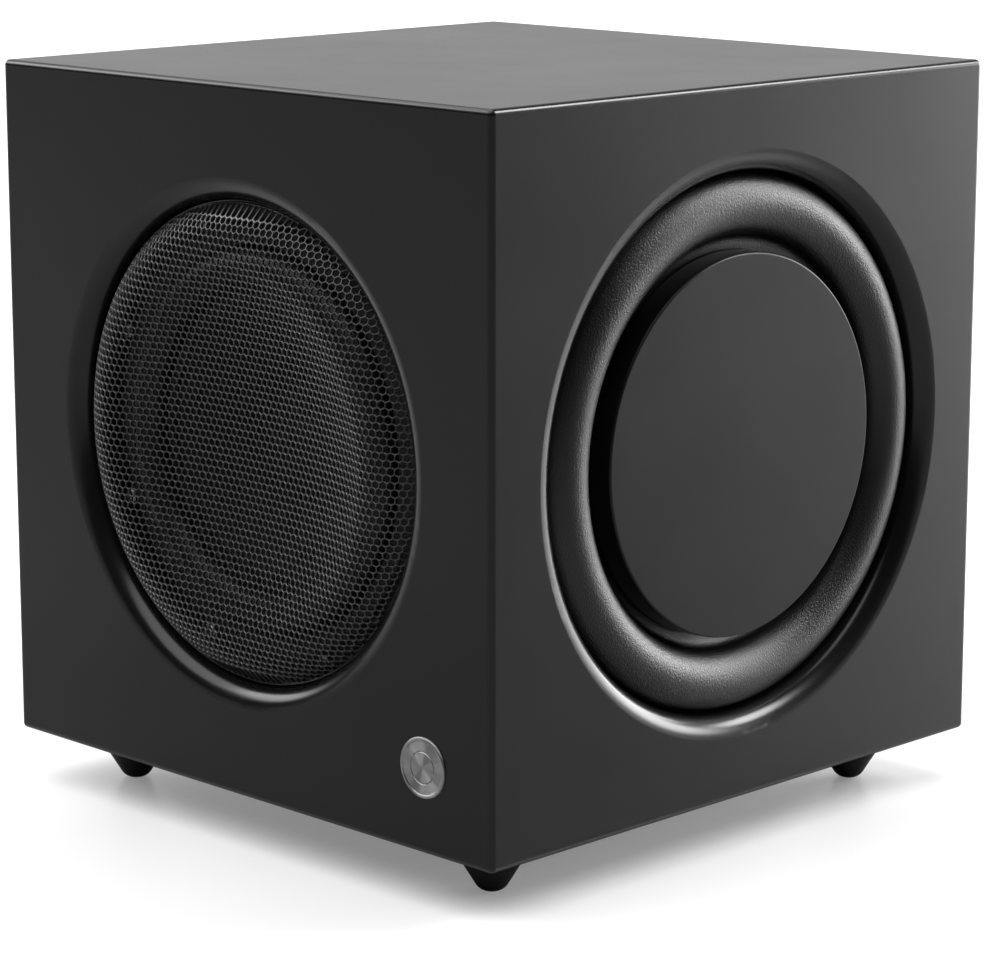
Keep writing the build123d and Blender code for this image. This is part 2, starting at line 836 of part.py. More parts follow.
with BuildPart() as amp_panel:
    with BuildSketch(rear):
        RectangleRounded(*amp_plate, amp_corner)
    extrude(amount=-plate)
    for middle, recess in ((control_middle, control_recess), (power_middle, power_recess)):
        with BuildSketch(rear):
            with Locations(middle):
                RectangleRounded(recess[0] + 2 * skin, recess[1] + 2 * skin, 6)
        extrude(amount=-recess[2] - skin)
    for middle, recess in ((control_middle, control_recess), (power_middle, power_recess)):
        with BuildSketch(rear):
            with Locations(middle):
                RectangleRounded(recess[0], recess[1], 4)
        extrude(amount=-recess[2], mode=Mode.SUBTRACT)
    with BuildSketch(rear):
        with Locations(volume_place, crossover_place):
            Circle(bushing_radius + 0.1)
        with Locations(*jack_places):
            Circle(4.3)
        with Locations(led_place):
            Circle(1.55)
        with Locations((phase_place[0] + phase_travel / 2, phase_place[1])):
            Rectangle(3.8 + phase_travel, 3.4)
        with Locations(rocker_place):
            Rectangle(rocker_body[0] + 0.3, rocker_body[1] + 0.3)
        with Locations(inlet_place):
            Rectangle(inlet_body[0] + 0.3, inlet_body[1] + 0.3)
        with Locations(*amp_screw_places):
            Circle(2.0)
    extrude(amount=control_inside, mode=Mode.SUBTRACT)
    with BuildSketch(rear):
        with Locations(*amp_screw_places):
            Circle(3.3)
    extrude(amount=-1.6, mode=Mode.SUBTRACT)
save(amp_panel, "amp_panel")

with BuildPart() as amp_gasket:
    with BuildSketch(rear.offset(-plate)):
        RectangleRounded(*amp_plate, amp_corner)
        Rectangle(amp_opening[0] + 0.6, amp_opening[1] + 0.6, mode=Mode.SUBTRACT)
        with Locations(*amp_screw_places):
            Circle(2.2, mode=Mode.SUBTRACT)
    extrude(amount=plate - amp_rebate)
save(amp_gasket, "amp_gasket")

with BuildPart() as amp_screws:
    with BuildSketch(rear.offset(-1.6)):
        with Locations(*amp_screw_places):
            Circle(3.1)
    extrude(amount=1.6)
    fillet(amp_screws.edges().group_by(Axis.Y)[-1], 0.6)
    with BuildSketch(rear.offset(-1.6)):
        with Locations(*amp_screw_places):
            Circle(amp_screw_radius)
    extrude(amount=-amp_screw_length)
    with BuildSketch(rear):
        with Locations(*amp_screw_places):
            RegularPolygon(1.5, 6)
    extrude(amount=-1.2, mode=Mode.SUBTRACT)
save(amp_screws, "amp_screws")

# ---- knobs with moulded spindles, and the two potentiometers they turn ----
knob_radius = 9.0
knob_back = control_floor + 1.0
spindle_radius = 3.0
spindle_end = -25.0


def build_knob(place):
    """A fluted knob with a pointer groove and its spindle, standing at place on the rear face."""
    with BuildPart() as knob:
        with BuildSketch(rear.offset(knob_back)):
            with Locations(place):
                Circle(knob_radius)
        extrude(amount=proud - knob_back)
        chamfer(knob.edges().group_by(Axis.Y)[-1], 0.5)
        with BuildSketch(rear.offset(knob_back)):
            with Locations(place):
                with PolarLocations(knob_radius + 0.2, 24, start_angle=7.5):
                    Circle(0.7)
        extrude(amount=proud - knob_back, mode=Mode.SUBTRACT)
        with BuildSketch(rear.offset(proud)):
            with Locations((place[0], place[1] + 5)):
                Rectangle(1.2, 6)
        extrude(amount=-0.8, mode=Mode.SUBTRACT)
        with BuildSketch(rear.offset(knob_back)):
            with Locations(place):
                Circle(spindle_radius)
        extrude(amount=spindle_end - knob_back)
    return knob


save(build_knob(volume_place), "volume_knob")
save(build_knob(crossover_place), "crossover_knob")

board_sheet = 1.6
control_board_back = control_inside - 8.1
with BuildPart() as control_pots:
    with BuildSketch(rear.offset(control_board_back)):
        with Locations(volume_place, crossover_place):
            Rectangle(14, 14)
    extrude(amount=6.2)
    with BuildSketch(rear.offset(control_board_back)):
        with Locations(volume_place, crossover_place):
            Circle(bushing_radius)
    extrude(amount=control_floor + 0.6 - control_board_back)
    with BuildSketch(rear.offset(control_floor + 0.6)):
        with Locations(volume_place, crossover_place):
            Circle(spindle_radius + glue_gap)
    extrude(amount=spindle_end - 0.4 - control_floor - 0.6, mode=Mode.SUBTRACT)
save(control_pots, "control_pots")

with BuildPart() as control_board:
    with BuildSketch(rear.offset(control_board_back)):
        with Locations(control_middle):
            Rectangle(122, 56)
    extrude(amount=-board_sheet)
save(control_board, "control_board")

with BuildPart() as phase_slider:
    with BuildSketch(rear.offset(control_inside - moving_gap)):
        with Locations(phase_place):
            RectangleRounded(9, 5.4, 0.6)
    extrude(amount=-1.2)
    with BuildSketch(rear.offset(control_inside - moving_gap)):
        with Locations(phase_place):
            RectangleRounded(3.0, 2.8, 0.3)
    extrude(amount=5.2)
save(phase_slider, "phase_slider")

with BuildPart() as status_led:
    with BuildSketch(rear.offset(control_board_back)):
        with Locations(led_place):
            Circle(1.5)
    extrude(amount=control_floor + 1.2 - control_board_back)
    fillet(status_led.edges().group_by(Axis.Y)[-1], 1.0)
save(status_led, "status_led")

# ---- input jacks ----
jack_radius = 4.15
jack_end = -6.5
jack_bore = 3.6
with BuildPart() as rca_shells:
    with BuildSketch(rear.offset(-20)):
        with Locations(*jack_places):
            Circle(jack_radius)
            Circle(jack_bore, mode=Mode.SUBTRACT)
    extrude(amount=20 + jack_end)
    with BuildSketch(rear.offset(control_floor)):
        with Locations(*jack_places):
            Circle(5.8)
            Circle(jack_bore, mode=Mode.SUBTRACT)
    extrude(amount=1)
save(rca_shells, "rca_shells")

with BuildPart() as rca_insulators:
    with BuildSketch(rear.offset(-20)):
        with Locations(*jack_places):
            Circle(jack_bore - glue_gap)
    extrude(amount=19 + jack_end)
    with BuildSketch(rear.offset(-20)):
        with Locations(*jack_places):
            Rectangle(11, 11)
    extrude(amount=control_board_back + 20)
    with BuildSketch(rear.offset(jack_end - 1)):
        with Locations(*jack_places):
            Circle(1.6)
    extrude(amount=-8, mode=Mode.SUBTRACT)
save(rca_insulators, "rca_insulators")

# ---- power switch: a rocker on two trunnions in its bezel ----
rocker_axis_height = -11.0
rocker_tilt = radians(6.0)  # the upper half stands out while the switch is off
trunnion = 1.2
rocker_width = 12.4
rocker_origin = (-rocker_place[0], half + rocker_axis_height, centre_z + rocker_place[1])
with BuildPart() as rocker_bezel:
    with BuildSketch(rear.offset(power_floor)):
        with Locations(rocker_place):
            RectangleRounded(rocker_body[0] + 3.4, rocker_body[1] + 3.4, 1.5)
    extrude(amount=1.4)
    with BuildSketch(rear.offset(power_floor)):
        with Locations(rocker_place):
            Rectangle(*rocker_body)
    extrude(amount=-16)
    with BuildSketch(rear.offset(power_floor + 1.4)):
        with Locations(rocker_place):
            Rectangle(13, 20.6)
    extrude(amount=-14, mode=Mode.SUBTRACT)
    with Locations(rocker_origin):
        Cylinder(trunnion + glue_gap, rocker_body[0] + 2, rotation=(0, 90, 0), mode=Mode.SUBTRACT)
save(rocker_bezel, "rocker_bezel")

rocker_up = (0, sin(rocker_tilt), cos(rocker_tilt))
rocker_section = Plane(origin=rocker_origin, x_dir=rocker_up, z_dir=(1, 0, 0))
with BuildPart() as power_rocker:
    with BuildSketch(rocker_section):
        with BuildLine():
            Polyline((-7, 4), (-8.4, -4.6), (0, -3), (8.4, -4.6), (7, 4), close=True)
        make_face()
    extrude(amount=rocker_width / 2, both=True)
    with BuildSketch(rocker_section):
        Circle(trunnion)
    extrude(amount=rocker_body[0] / 2 - 0.4, both=True)
save(power_rocker, "power_rocker")

# ---- mains inlet: two-pin figure-eight socket ----
pin_radius = 1.2
pin_spacing = 8.6
cavity = (16.0, 8.4, 12.0)
inlet_front = power_floor + 1.5
pin_places = [(inlet_place[0] + side_sign * pin_spacing / 2, inlet_place[1]) for side_sign in (-1, 1)]
with BuildPart() as mains_inlet:
    with BuildSketch(rear.offset(power_floor)):
        with Locations(inlet_place):
            RectangleRounded(34, 21, 2)
    extrude(amount=1.5)
    with BuildSketch(rear.offset(power_floor)):
        with Locations(inlet_place):
            Rectangle(*inlet_body)
    extrude(amount=-18)
    with BuildSketch(rear.offset(inlet_front)):
        with Locations(inlet_place):
            RectangleRounded(cavity[0], cavity[1], 4.1)
    extrude(amount=-cavity[2], mode=Mode.SUBTRACT)
    with BuildSketch(rear.offset(inlet_front - cavity[2])):
        with Locations(*pin_places):
            Circle(pin_radius + glue_gap)
    extrude(amount=-5, mode=Mode.SUBTRACT)
save(mains_inlet, "mains_inlet")

with BuildPart() as inlet_pins:
    with BuildSketch(rear.offset(inlet_front - cavity[2] - 5)):
        with Locations(*pin_places):
            Circle(pin_radius)
    extrude(amount=14.5)
    fillet(inlet_pins.edges().group_by(Axis.Y)[-1], 0.8)
save(inlet_pins, "inlet_pins")

# ---- amplifier board and what stands on it ----
amp_board = -34.0
standoff_place = (64.0, 61.0)
with BuildPart() as board_standoffs:
    for start, v in ((control_inside, standoff_place[1]), (power_inside, -standoff_place[1])):
        with BuildSketch(rear.offset(start)):
            with Locations((-standoff_place[0], v), (standoff_place[0], v)):
                RegularPolygon(3.0, 6)
        extrude(amount=amp_board - start)
save(board_standoffs, "board_standoffs")

board_back = amp_board - board_sheet
with BuildPart() as amplifier_board:
    with BuildSketch(rear.offset(amp_board)):
        RectangleRounded(136, 130, 2)
    extrude(amount=-board_sheet)
save(amplifier_board, "amplifier_board")

with BuildPart() as supply_transformer:
    with BuildSketch(rear.offset(board_back)):
        with Locations((10, -28)):
            Rectangle(42, 18)
    extrude(amount=-30)
    with BuildSketch(rear.offset(board_back - 4)):
        with Locations((10, -28)):
            Rectangle(27, 19)
    extrude(amount=-21.4, mode=Mode.SUBTRACT)
    with Locations((-10, half + board_back - 14.7, centre_z - 28)):
        Box(26.4, 20.8, 34)
    fillet(supply_transformer.edges().group_by(Axis.Z)[0].group_by(SortBy.LENGTH)[-1], 3)
save(supply_transformer, "supply_transformer")

with BuildPart() as heat_sink:
    with BuildSketch(rear.offset(board_back)):
        with Locations((0, 35)):
            Rectangle(72, 34)
    extrude(amount=-4)
    with BuildSketch(rear.offset(board_back)):
        with Locations((0, 35)):
            with GridLocations(10, 34, 8, 1):
                Rectangle(2, 34)
    extrude(amount=-22)
save(heat_sink, "heat_sink")

with BuildPart() as supply_capacitors:
    with BuildSketch(rear.offset(board_back)):
        with Locations((-44, -44), (-44, -22), (-24, -44)):
            Circle(8)
    extrude(amount=-30)
    fillet(supply_capacitors.edges().group_by(Axis.Y)[0], 1.2)
save(supply_capacitors, "supply_capacitors")

# ---- leads from the amplifier to the woofer's tabs ----
lead_radius = 1.1
with BuildPart() as speaker_leads:
    for sign in (-1, 1):
        tab_end = (sign * tab_offset, -tab_radius, terminal_height - tab_length)
        tab = tuple(front.from_local_coords(tab_end))
        points = [
            tab,
            (tab[0], tab[1] + 14, tab[2]),
            (tab[0], tab[1] + 42, tab[2] - 14),
            (tab[0], 8, 60),
            (tab[0], 46, 63),
            (tab[0], 70, 82),
            (tab[0], half + board_back, 82),
        ]
        with BuildLine() as lead_line:
            FilletPolyline(*points, radius=bend_radii(points))
        with BuildSketch(Plane(origin=lead_line.line @ 0, z_dir=lead_line.line % 0)):
            Circle(lead_radius)
        sweep(path=lead_line.line)
        lead_length = sum(edge.length for edge in lead_line.edges())
        print("lead length", round(lead_length, 1), "bend radii", [round(r, 1) for r in bend_radii(points)])
save(speaker_leads, "speaker_leads")

with BuildPart() as damping_wadding:
    with Locations((10 - inner_half, 0, centre_z)):
        Box(20, 156, 160)
    fillet(damping_wadding.edges(), 6)
save(damping_wadding, "damping_wadding")
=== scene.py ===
import json
import math

import bmesh
import bpy
import numpy as np
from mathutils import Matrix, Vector


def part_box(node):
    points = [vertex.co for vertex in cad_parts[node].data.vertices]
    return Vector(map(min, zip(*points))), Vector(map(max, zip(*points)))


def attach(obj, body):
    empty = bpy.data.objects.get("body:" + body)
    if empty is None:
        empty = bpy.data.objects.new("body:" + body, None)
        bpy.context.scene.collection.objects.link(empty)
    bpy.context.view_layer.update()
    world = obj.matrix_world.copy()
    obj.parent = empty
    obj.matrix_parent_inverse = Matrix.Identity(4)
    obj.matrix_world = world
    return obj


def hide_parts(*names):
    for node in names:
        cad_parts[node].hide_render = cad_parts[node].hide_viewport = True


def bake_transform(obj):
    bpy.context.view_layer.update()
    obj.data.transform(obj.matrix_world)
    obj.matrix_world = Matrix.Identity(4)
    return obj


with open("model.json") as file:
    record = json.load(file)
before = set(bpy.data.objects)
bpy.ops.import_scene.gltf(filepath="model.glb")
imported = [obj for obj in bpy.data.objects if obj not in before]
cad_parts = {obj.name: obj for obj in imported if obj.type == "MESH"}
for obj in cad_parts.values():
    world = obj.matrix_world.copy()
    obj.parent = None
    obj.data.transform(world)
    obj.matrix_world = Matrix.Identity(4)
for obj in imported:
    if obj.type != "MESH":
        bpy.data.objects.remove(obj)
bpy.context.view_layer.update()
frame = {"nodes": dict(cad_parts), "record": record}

scene = bpy.context.scene
mm = 0.001
fullTurn = 2 * math.pi

# where the cabinet stands, read from its panels
lowCorner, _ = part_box("bottom_panel")
_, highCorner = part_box("top_panel")
centreZ = (lowCorner.z + highCorner.z) / 2
halfCabinet = (highCorner.x - lowCorner.x) / 2
print("frame loaded, cabinet", round(2 * halfCabinet / mm, 1), "mm wide")


# camera, lights and floor
view = {"azimuth": 45.1, "elevation": 11.95, "distance": 1.302, "aimHeight": 0.1125, "lens": 128.6,
        "nearest": 0.05, "farthest": 60}


def placeCamera():
    azimuth, elevation = math.radians(view["azimuth"]), math.radians(view["elevation"])
    back = Vector((math.sin(azimuth) * math.cos(elevation), -math.cos(azimuth) * math.cos(elevation),
                   math.sin(elevation)))
    camera = bpy.data.objects.new("camera", bpy.data.cameras.new("camera"))
    camera.data.lens = view["lens"]
    camera.data.clip_start, camera.data.clip_end = view["nearest"], view["farthest"]
    camera.location = Vector((0, 0, view["aimHeight"])) + back * view["distance"]
    camera.rotation_mode = "QUATERNION"
    camera.rotation_quaternion = (-back).to_track_quat("-Z", "Y")
    scene.collection.objects.link(camera)
    scene.camera = camera


placeCamera()

# soft panels on the studio walls: where each stands round the object (degrees, 0 at +X and 90 at +Y),
# how wide it is seen, how far its edge fades, and how bright it is
panels = {
    "high": {"azimuth": 58, "elevation": 36, "reach": 7, "fade": 8, "bright": 17.0},
    "near": {"azimuth": 66, "elevation": 7, "reach": 9, "fade": 6, "bright": 12.5},
    "low": {"azimuth": 92, "elevation": 8, "reach": 9, "fade": 8, "bright": 12.0},
    "farWall": {"azimuth": 140, "elevation": 10, "reach": 26, "fade": 26, "bright": 0.58},
    "left": {"azimuth": 199, "elevation": 25, "reach": 7, "fade": 10, "bright": 5.5},
}
# light from all round, the wide lamp overhead, and the tones of the backdrop and the floor
studio = {"fill": 0.05, "overhead": 3.2, "overheadSpread": 80, "overheadLean": (14, -16, 0),
          "backdrop": 0.93, "floorSize": 24.0, "floorTone": 0.90, "floorBounce": 0.34, "floorFill": 0.22,
          "floorBlotch": 400, "floorRough": (0.22, 0.26)}


def towards(azimuth, elevation):
    turn, lift = math.radians(azimuth), math.radians(elevation)
    return (math.cos(turn) * math.cos(lift), math.sin(turn) * math.cos(lift), math.sin(lift))


def placeLights():
    # each panel: bright * smoothstep(cosine of the angle to its middle); the camera sees a pale backdrop
    scene.world = bpy.data.worlds.new("studio")
    scene.world.use_nodes = True
    tree = scene.world.node_tree
    background = tree.nodes["Background"]
    direction = addNode(tree, "ShaderNodeTexCoord").outputs["Generated"]
    total = addNode(tree, "ShaderNodeValue").outputs[0]
    total.default_value = studio["fill"]
    for panel in panels.values():
        cosine = addNode(tree, "ShaderNodeVectorMath", {"operation": "DOT_PRODUCT"})
        tree.links.new(direction, cosine.inputs[0])
        cosine.inputs[1].default_value = towards(panel["azimuth"], panel["elevation"])
        glow = addNode(tree, "ShaderNodeMapRange", {"interpolation_type": "SMOOTHSTEP"},
                       Value=cosine.outputs["Value"],
                       From_Min=math.cos(math.radians(panel["reach"] + panel["fade"])),
                       From_Max=math.cos(math.radians(panel["reach"])), To_Min=0.0, To_Max=panel["bright"])
        total = sumOf(tree, total, glow.outputs[0])
    seen = addNode(tree, "ShaderNodeLightPath").outputs["Is Camera Ray"]
    shown = addNode(tree, "ShaderNodeMix", {"data_type": "FLOAT"})
    tree.links.new(seen, shown.inputs["Factor"])
    tree.links.new(total, shown.inputs[2])
    shown.inputs[3].default_value = studio["backdrop"]
    tree.links.new(shown.outputs[0], background.inputs["Strength"])
    background.inputs["Color"].default_value = (1, 1, 1, 1)
    lamp = bpy.data.lights.new("overhead", "SUN")
    lamp.energy = studio["overhead"]
    lamp.angle = math.radians(studio["overheadSpread"])
    sky = bpy.data.objects.new("overhead", lamp)
    sky.rotation_euler = [math.radians(angle) for angle in studio["overheadLean"]]
    scene.collection.objects.link(sky)
    scene.view_settings.view_transform = "Standard"


# small tools for meshes
def makeMesh(name, points, faceSets, smooth=True):
    # points in millimetres; each face set is a whole array with one row of corners for each face
    corners = np.concatenate([faces.ravel() for faces in faceSets]).astype(np.int32)
    sizes = np.concatenate([np.full(len(faces), faces.shape[1]) for faces in faceSets])
    starts = np.concatenate([[0], np.cumsum(sizes)[:-1]]).astype(np.int32)
    mesh = bpy.data.meshes.new(name)
    mesh.vertices.add(len(points))
    mesh.vertices.foreach_set("co", (np.asarray(points) * mm).astype(np.float32).ravel())
    mesh.loops.add(len(corners))
    mesh.loops.foreach_set("vertex_index", corners)
    mesh.polygons.add(len(sizes))
    mesh.polygons.foreach_set("loop_start", starts)
    mesh.polygons.foreach_set("use_smooth", np.full(len(sizes), smooth))
    mesh.update(calc_edges=True)
    mesh.validate()
    piece = bpy.data.objects.new(name, mesh)
    scene.collection.objects.link(piece)
    return piece


def onFront(across, up, out):
    # a place on the front of the cabinet: across to +X, up from its middle, out of the front face
    return np.stack([across, -halfCabinet / mm - out, centreZ / mm + up], -1)


def onSide(across, up, out):
    # the same on the right side, across to the rear
    return np.stack([halfCabinet / mm + out, across, centreZ / mm + up], -1)


def onRear(across, up, out):
    # the same on the rear, across to the right as it is seen from behind
    return np.stack([-across, halfCabinet / mm + out, centreZ / mm + up], -1)


def gridFaces(rows, columns, closedRows=False):
    # quads of a grid whose columns always close round; closedRows joins the last row to the first
    row = np.arange(rows if closedRows else rows - 1)[:, None]
    column = np.arange(columns)[None, :]
    nextRow, nextColumn = (row + 1) % rows, (column + 1) % columns
    here = row * columns + column
    return np.stack([here, row * columns + nextColumn, nextRow * columns + nextColumn,
                     nextRow * columns + column], -1).reshape(-1, 4)


def endFans(rows, steps):
    # triangles that close both ends of a grid with two poles, which follow its last point
    ring = np.arange(steps)
    turned = (ring + 1) % steps
    end = (rows - 1) * steps
    return [np.stack([np.full(steps, rows * steps), turned, ring], -1),
            np.stack([end + ring, end + turned, np.full(steps, rows * steps + 1)], -1)]


def giveUv(piece, u, v):
    # u and v hold one value for each vertex; u runs round and must not jump back inside a face
    layer = piece.data.uv_layers.new(name="surface")
    corners = np.zeros(len(piece.data.loops), np.int32)
    piece.data.loops.foreach_get("vertex_index", corners)
    sizes = np.zeros(len(piece.data.polygons), np.int32)
    piece.data.polygons.foreach_get("loop_total", sizes)
    faceOf = np.repeat(np.arange(len(sizes)), sizes)
    cornerU = np.asarray(u, float)[corners]
    highest = np.full(len(sizes), -1e9)
    np.maximum.at(highest, faceOf, cornerU)
    cornerU = np.where(highest[faceOf] - cornerU > 0.5, cornerU + 1, cornerU)
    layer.data.foreach_set("uv", np.stack([cornerU, np.asarray(v, float)[corners]], -1)
                           .astype(np.float32).ravel())


def turnSection(name, radius, height, steps, place, centre=(0, 0), solid=False):
    # point(i, a) = centre + radius(i) * (cos a, sin a) on the face, and height(i) out of it;
    # a ring joins its section's two ends, and a solid closes both ends with a fan at the axis
    angle = np.linspace(0, fullTurn, steps, endpoint=False)
    across = centre[0] + radius[:, None] * np.cos(angle)
    up = centre[1] + radius[:, None] * np.sin(angle)
    out = np.repeat(height[:, None], steps, 1)
    points = place(across.ravel(), up.ravel(), out.ravel())
    rows = len(radius)
    faceSets = [gridFaces(rows, steps, closedRows=not solid)]
    along = np.repeat(np.arange(rows) / rows, steps)
    around = np.tile(angle / fullTurn, rows)
    if solid:
        poles = place(np.full(2, float(centre[0])), np.full(2, float(centre[1])), height[[0, -1]])
        points = np.concatenate([points, poles])
        faceSets += endFans(rows, steps)
        along = np.concatenate([along, [0, 1]])
        around = np.concatenate([around, [0, 0]])
    piece = makeMesh(name, points, faceSets)
    facesOutwards(piece)
    giveUv(piece, around, along)
    return piece


def facesOutwards(piece):
    # signed volume of a closed mesh: turn every face if it comes out negative
    mesh = piece.data
    mesh.calc_loop_triangles()
    corners = np.zeros(len(mesh.loop_triangles) * 3, np.int32)
    mesh.loop_triangles.foreach_get("vertices", corners)
    places = np.zeros(len(mesh.vertices) * 3)
    mesh.vertices.foreach_get("co", places)
    a, b, c = places.reshape(-1, 3)[corners.reshape(-1, 3)].transpose(1, 0, 2)
    if np.einsum("ij,ij->i", a, np.cross(b, c)).sum() < 0:
        mesh.flip_normals()


def sharpenAbove(piece, degrees):
    # edges between faces that meet at more than this angle stay crisp
    piece.data.set_sharp_from_angle(angle=math.radians(degrees))


def finishPiece(piece, slotName, *nodes):
    piece.data.materials.append(finish[slotName])
    if nodes:
        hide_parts(*nodes)
    print("made", piece.name, len(piece.data.polygons), "faces")


def easeBetween(value, start, end):
    # 0 before start, 1 after end, with a level beginning and end
    share = np.clip((value - start) / (end - start), 0, 1)
    return share * share * (3 - 2 * share)


def readPoints(piece):
    places = np.zeros(len(piece.data.vertices) * 3)
    piece.data.vertices.foreach_get("co", places)
    return places.reshape(-1, 3) / mm


def fromMiddle(piece, place):
    # each vertex's distance from the axis of a front or side opening
    places = readPoints(piece)
    across = places[:, 0] if place is onFront else places[:, 1]
    return np.hypot(across, places[:, 2] - centreZ / mm)


def bendWith(piece, weight):
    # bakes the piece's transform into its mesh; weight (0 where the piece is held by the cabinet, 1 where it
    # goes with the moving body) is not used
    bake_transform(piece)


# small tools for materials
def startMaterial(name):
    material = bpy.data.materials.new(name)
    material.use_nodes = True
    return material, material.node_tree, material.node_tree.nodes["Principled BSDF"]


def addNode(tree, kind, settings=None, **inputs):
    node = tree.nodes.new(kind)
    for key, value in (settings or {}).items():
        setattr(node, key, value)
    for key, value in inputs.items():
        socket = node.inputs[key.replace("_", " ")]
        if isinstance(value, bpy.types.NodeSocket):
            tree.links.new(value, socket)
        else:
            socket.default_value = value
    return node


def objectPlace(tree):
    return addNode(tree, "ShaderNodeTexCoord").outputs["Object"]


def pieceUv(tree):
    return addNode(tree, "ShaderNodeTexCoord").outputs["UV"]


def grain(tree, size, detail=3.0, roughness=0.55, stretch=(1, 1, 1), where=None):
    # noise whose lumps are about size millimetres across, 0 to 1
    where = where or objectPlace(tree)
    mapping = addNode(tree, "ShaderNodeMapping", Vector=where, Scale=stretch)
    return addNode(tree, "ShaderNodeTexNoise", Vector=mapping.outputs[0], Scale=1 / (size * mm),
                   Detail=detail, Roughness=roughness).outputs["Fac"]


def spread(tree, value, low, high, start=0.3, end=0.7):
    # carries value from start..end to low..high
    return addNode(tree, "ShaderNodeMapRange", Value=value, From_Min=start, From_Max=end,
                   To_Min=low, To_Max=high).outputs[0]


def sumOf(tree, first, second, share=1.0):
    scaled = addNode(tree, "ShaderNodeMath", {"operation": "MULTIPLY"})
    tree.links.new(second, scaled.inputs[0])
    scaled.inputs[1].default_value = share
    total = addNode(tree, "ShaderNodeMath", {"operation": "ADD"})
    tree.links.new(first, total.inputs[0])
    tree.links.new(scaled.outputs[0], total.inputs[1])
    return total.outputs[0]


def between(tree, share, dark, light):
    mix = addNode(tree, "ShaderNodeMix", {"data_type": "RGBA"})
    tree.links.new(share, mix.inputs["Factor"])
    mix.inputs[6].default_value = (*dark, 1)
    mix.inputs[7].default_value = (*light, 1)
    return mix.outputs[2]


def raised(tree, shader, height, depth):
    # depth is the height in millimetres that a value of 1 stands above 0
    bump = addNode(tree, "ShaderNodeBump", Strength=1.0, Distance=depth * mm, Height=height)
    tree.links.new(bump.outputs[0], shader.inputs["Normal"])


def grey(value):
    return (value, value, value)


def coated(name, dark, light, rough, lumps, depth, blotch=40, metallic=0.0, level=0.5, fine=None):
    # paint, plastic or plate: patchy tone and gloss over a wide blotch, and a fine raised grain
    material, tree, shader = startMaterial(name)
    patches = grain(tree, blotch, detail=4)
    tree.links.new(between(tree, spread(tree, patches, 0, 1), dark, light), shader.inputs["Base Color"])
    texture = grain(tree, lumps)
    fineGloss = spread(tree, texture, -0.015, 0.015)
    tree.links.new(sumOf(tree, spread(tree, patches, *rough), fineGloss), shader.inputs["Roughness"])
    if fine:
        texture = sumOf(tree, texture, grain(tree, fine, detail=1), 0.6)
    raised(tree, shader, texture, depth)
    shader.inputs["Metallic"].default_value = metallic
    shader.inputs["Specular IOR Level"].default_value = level
    return material, tree, shader


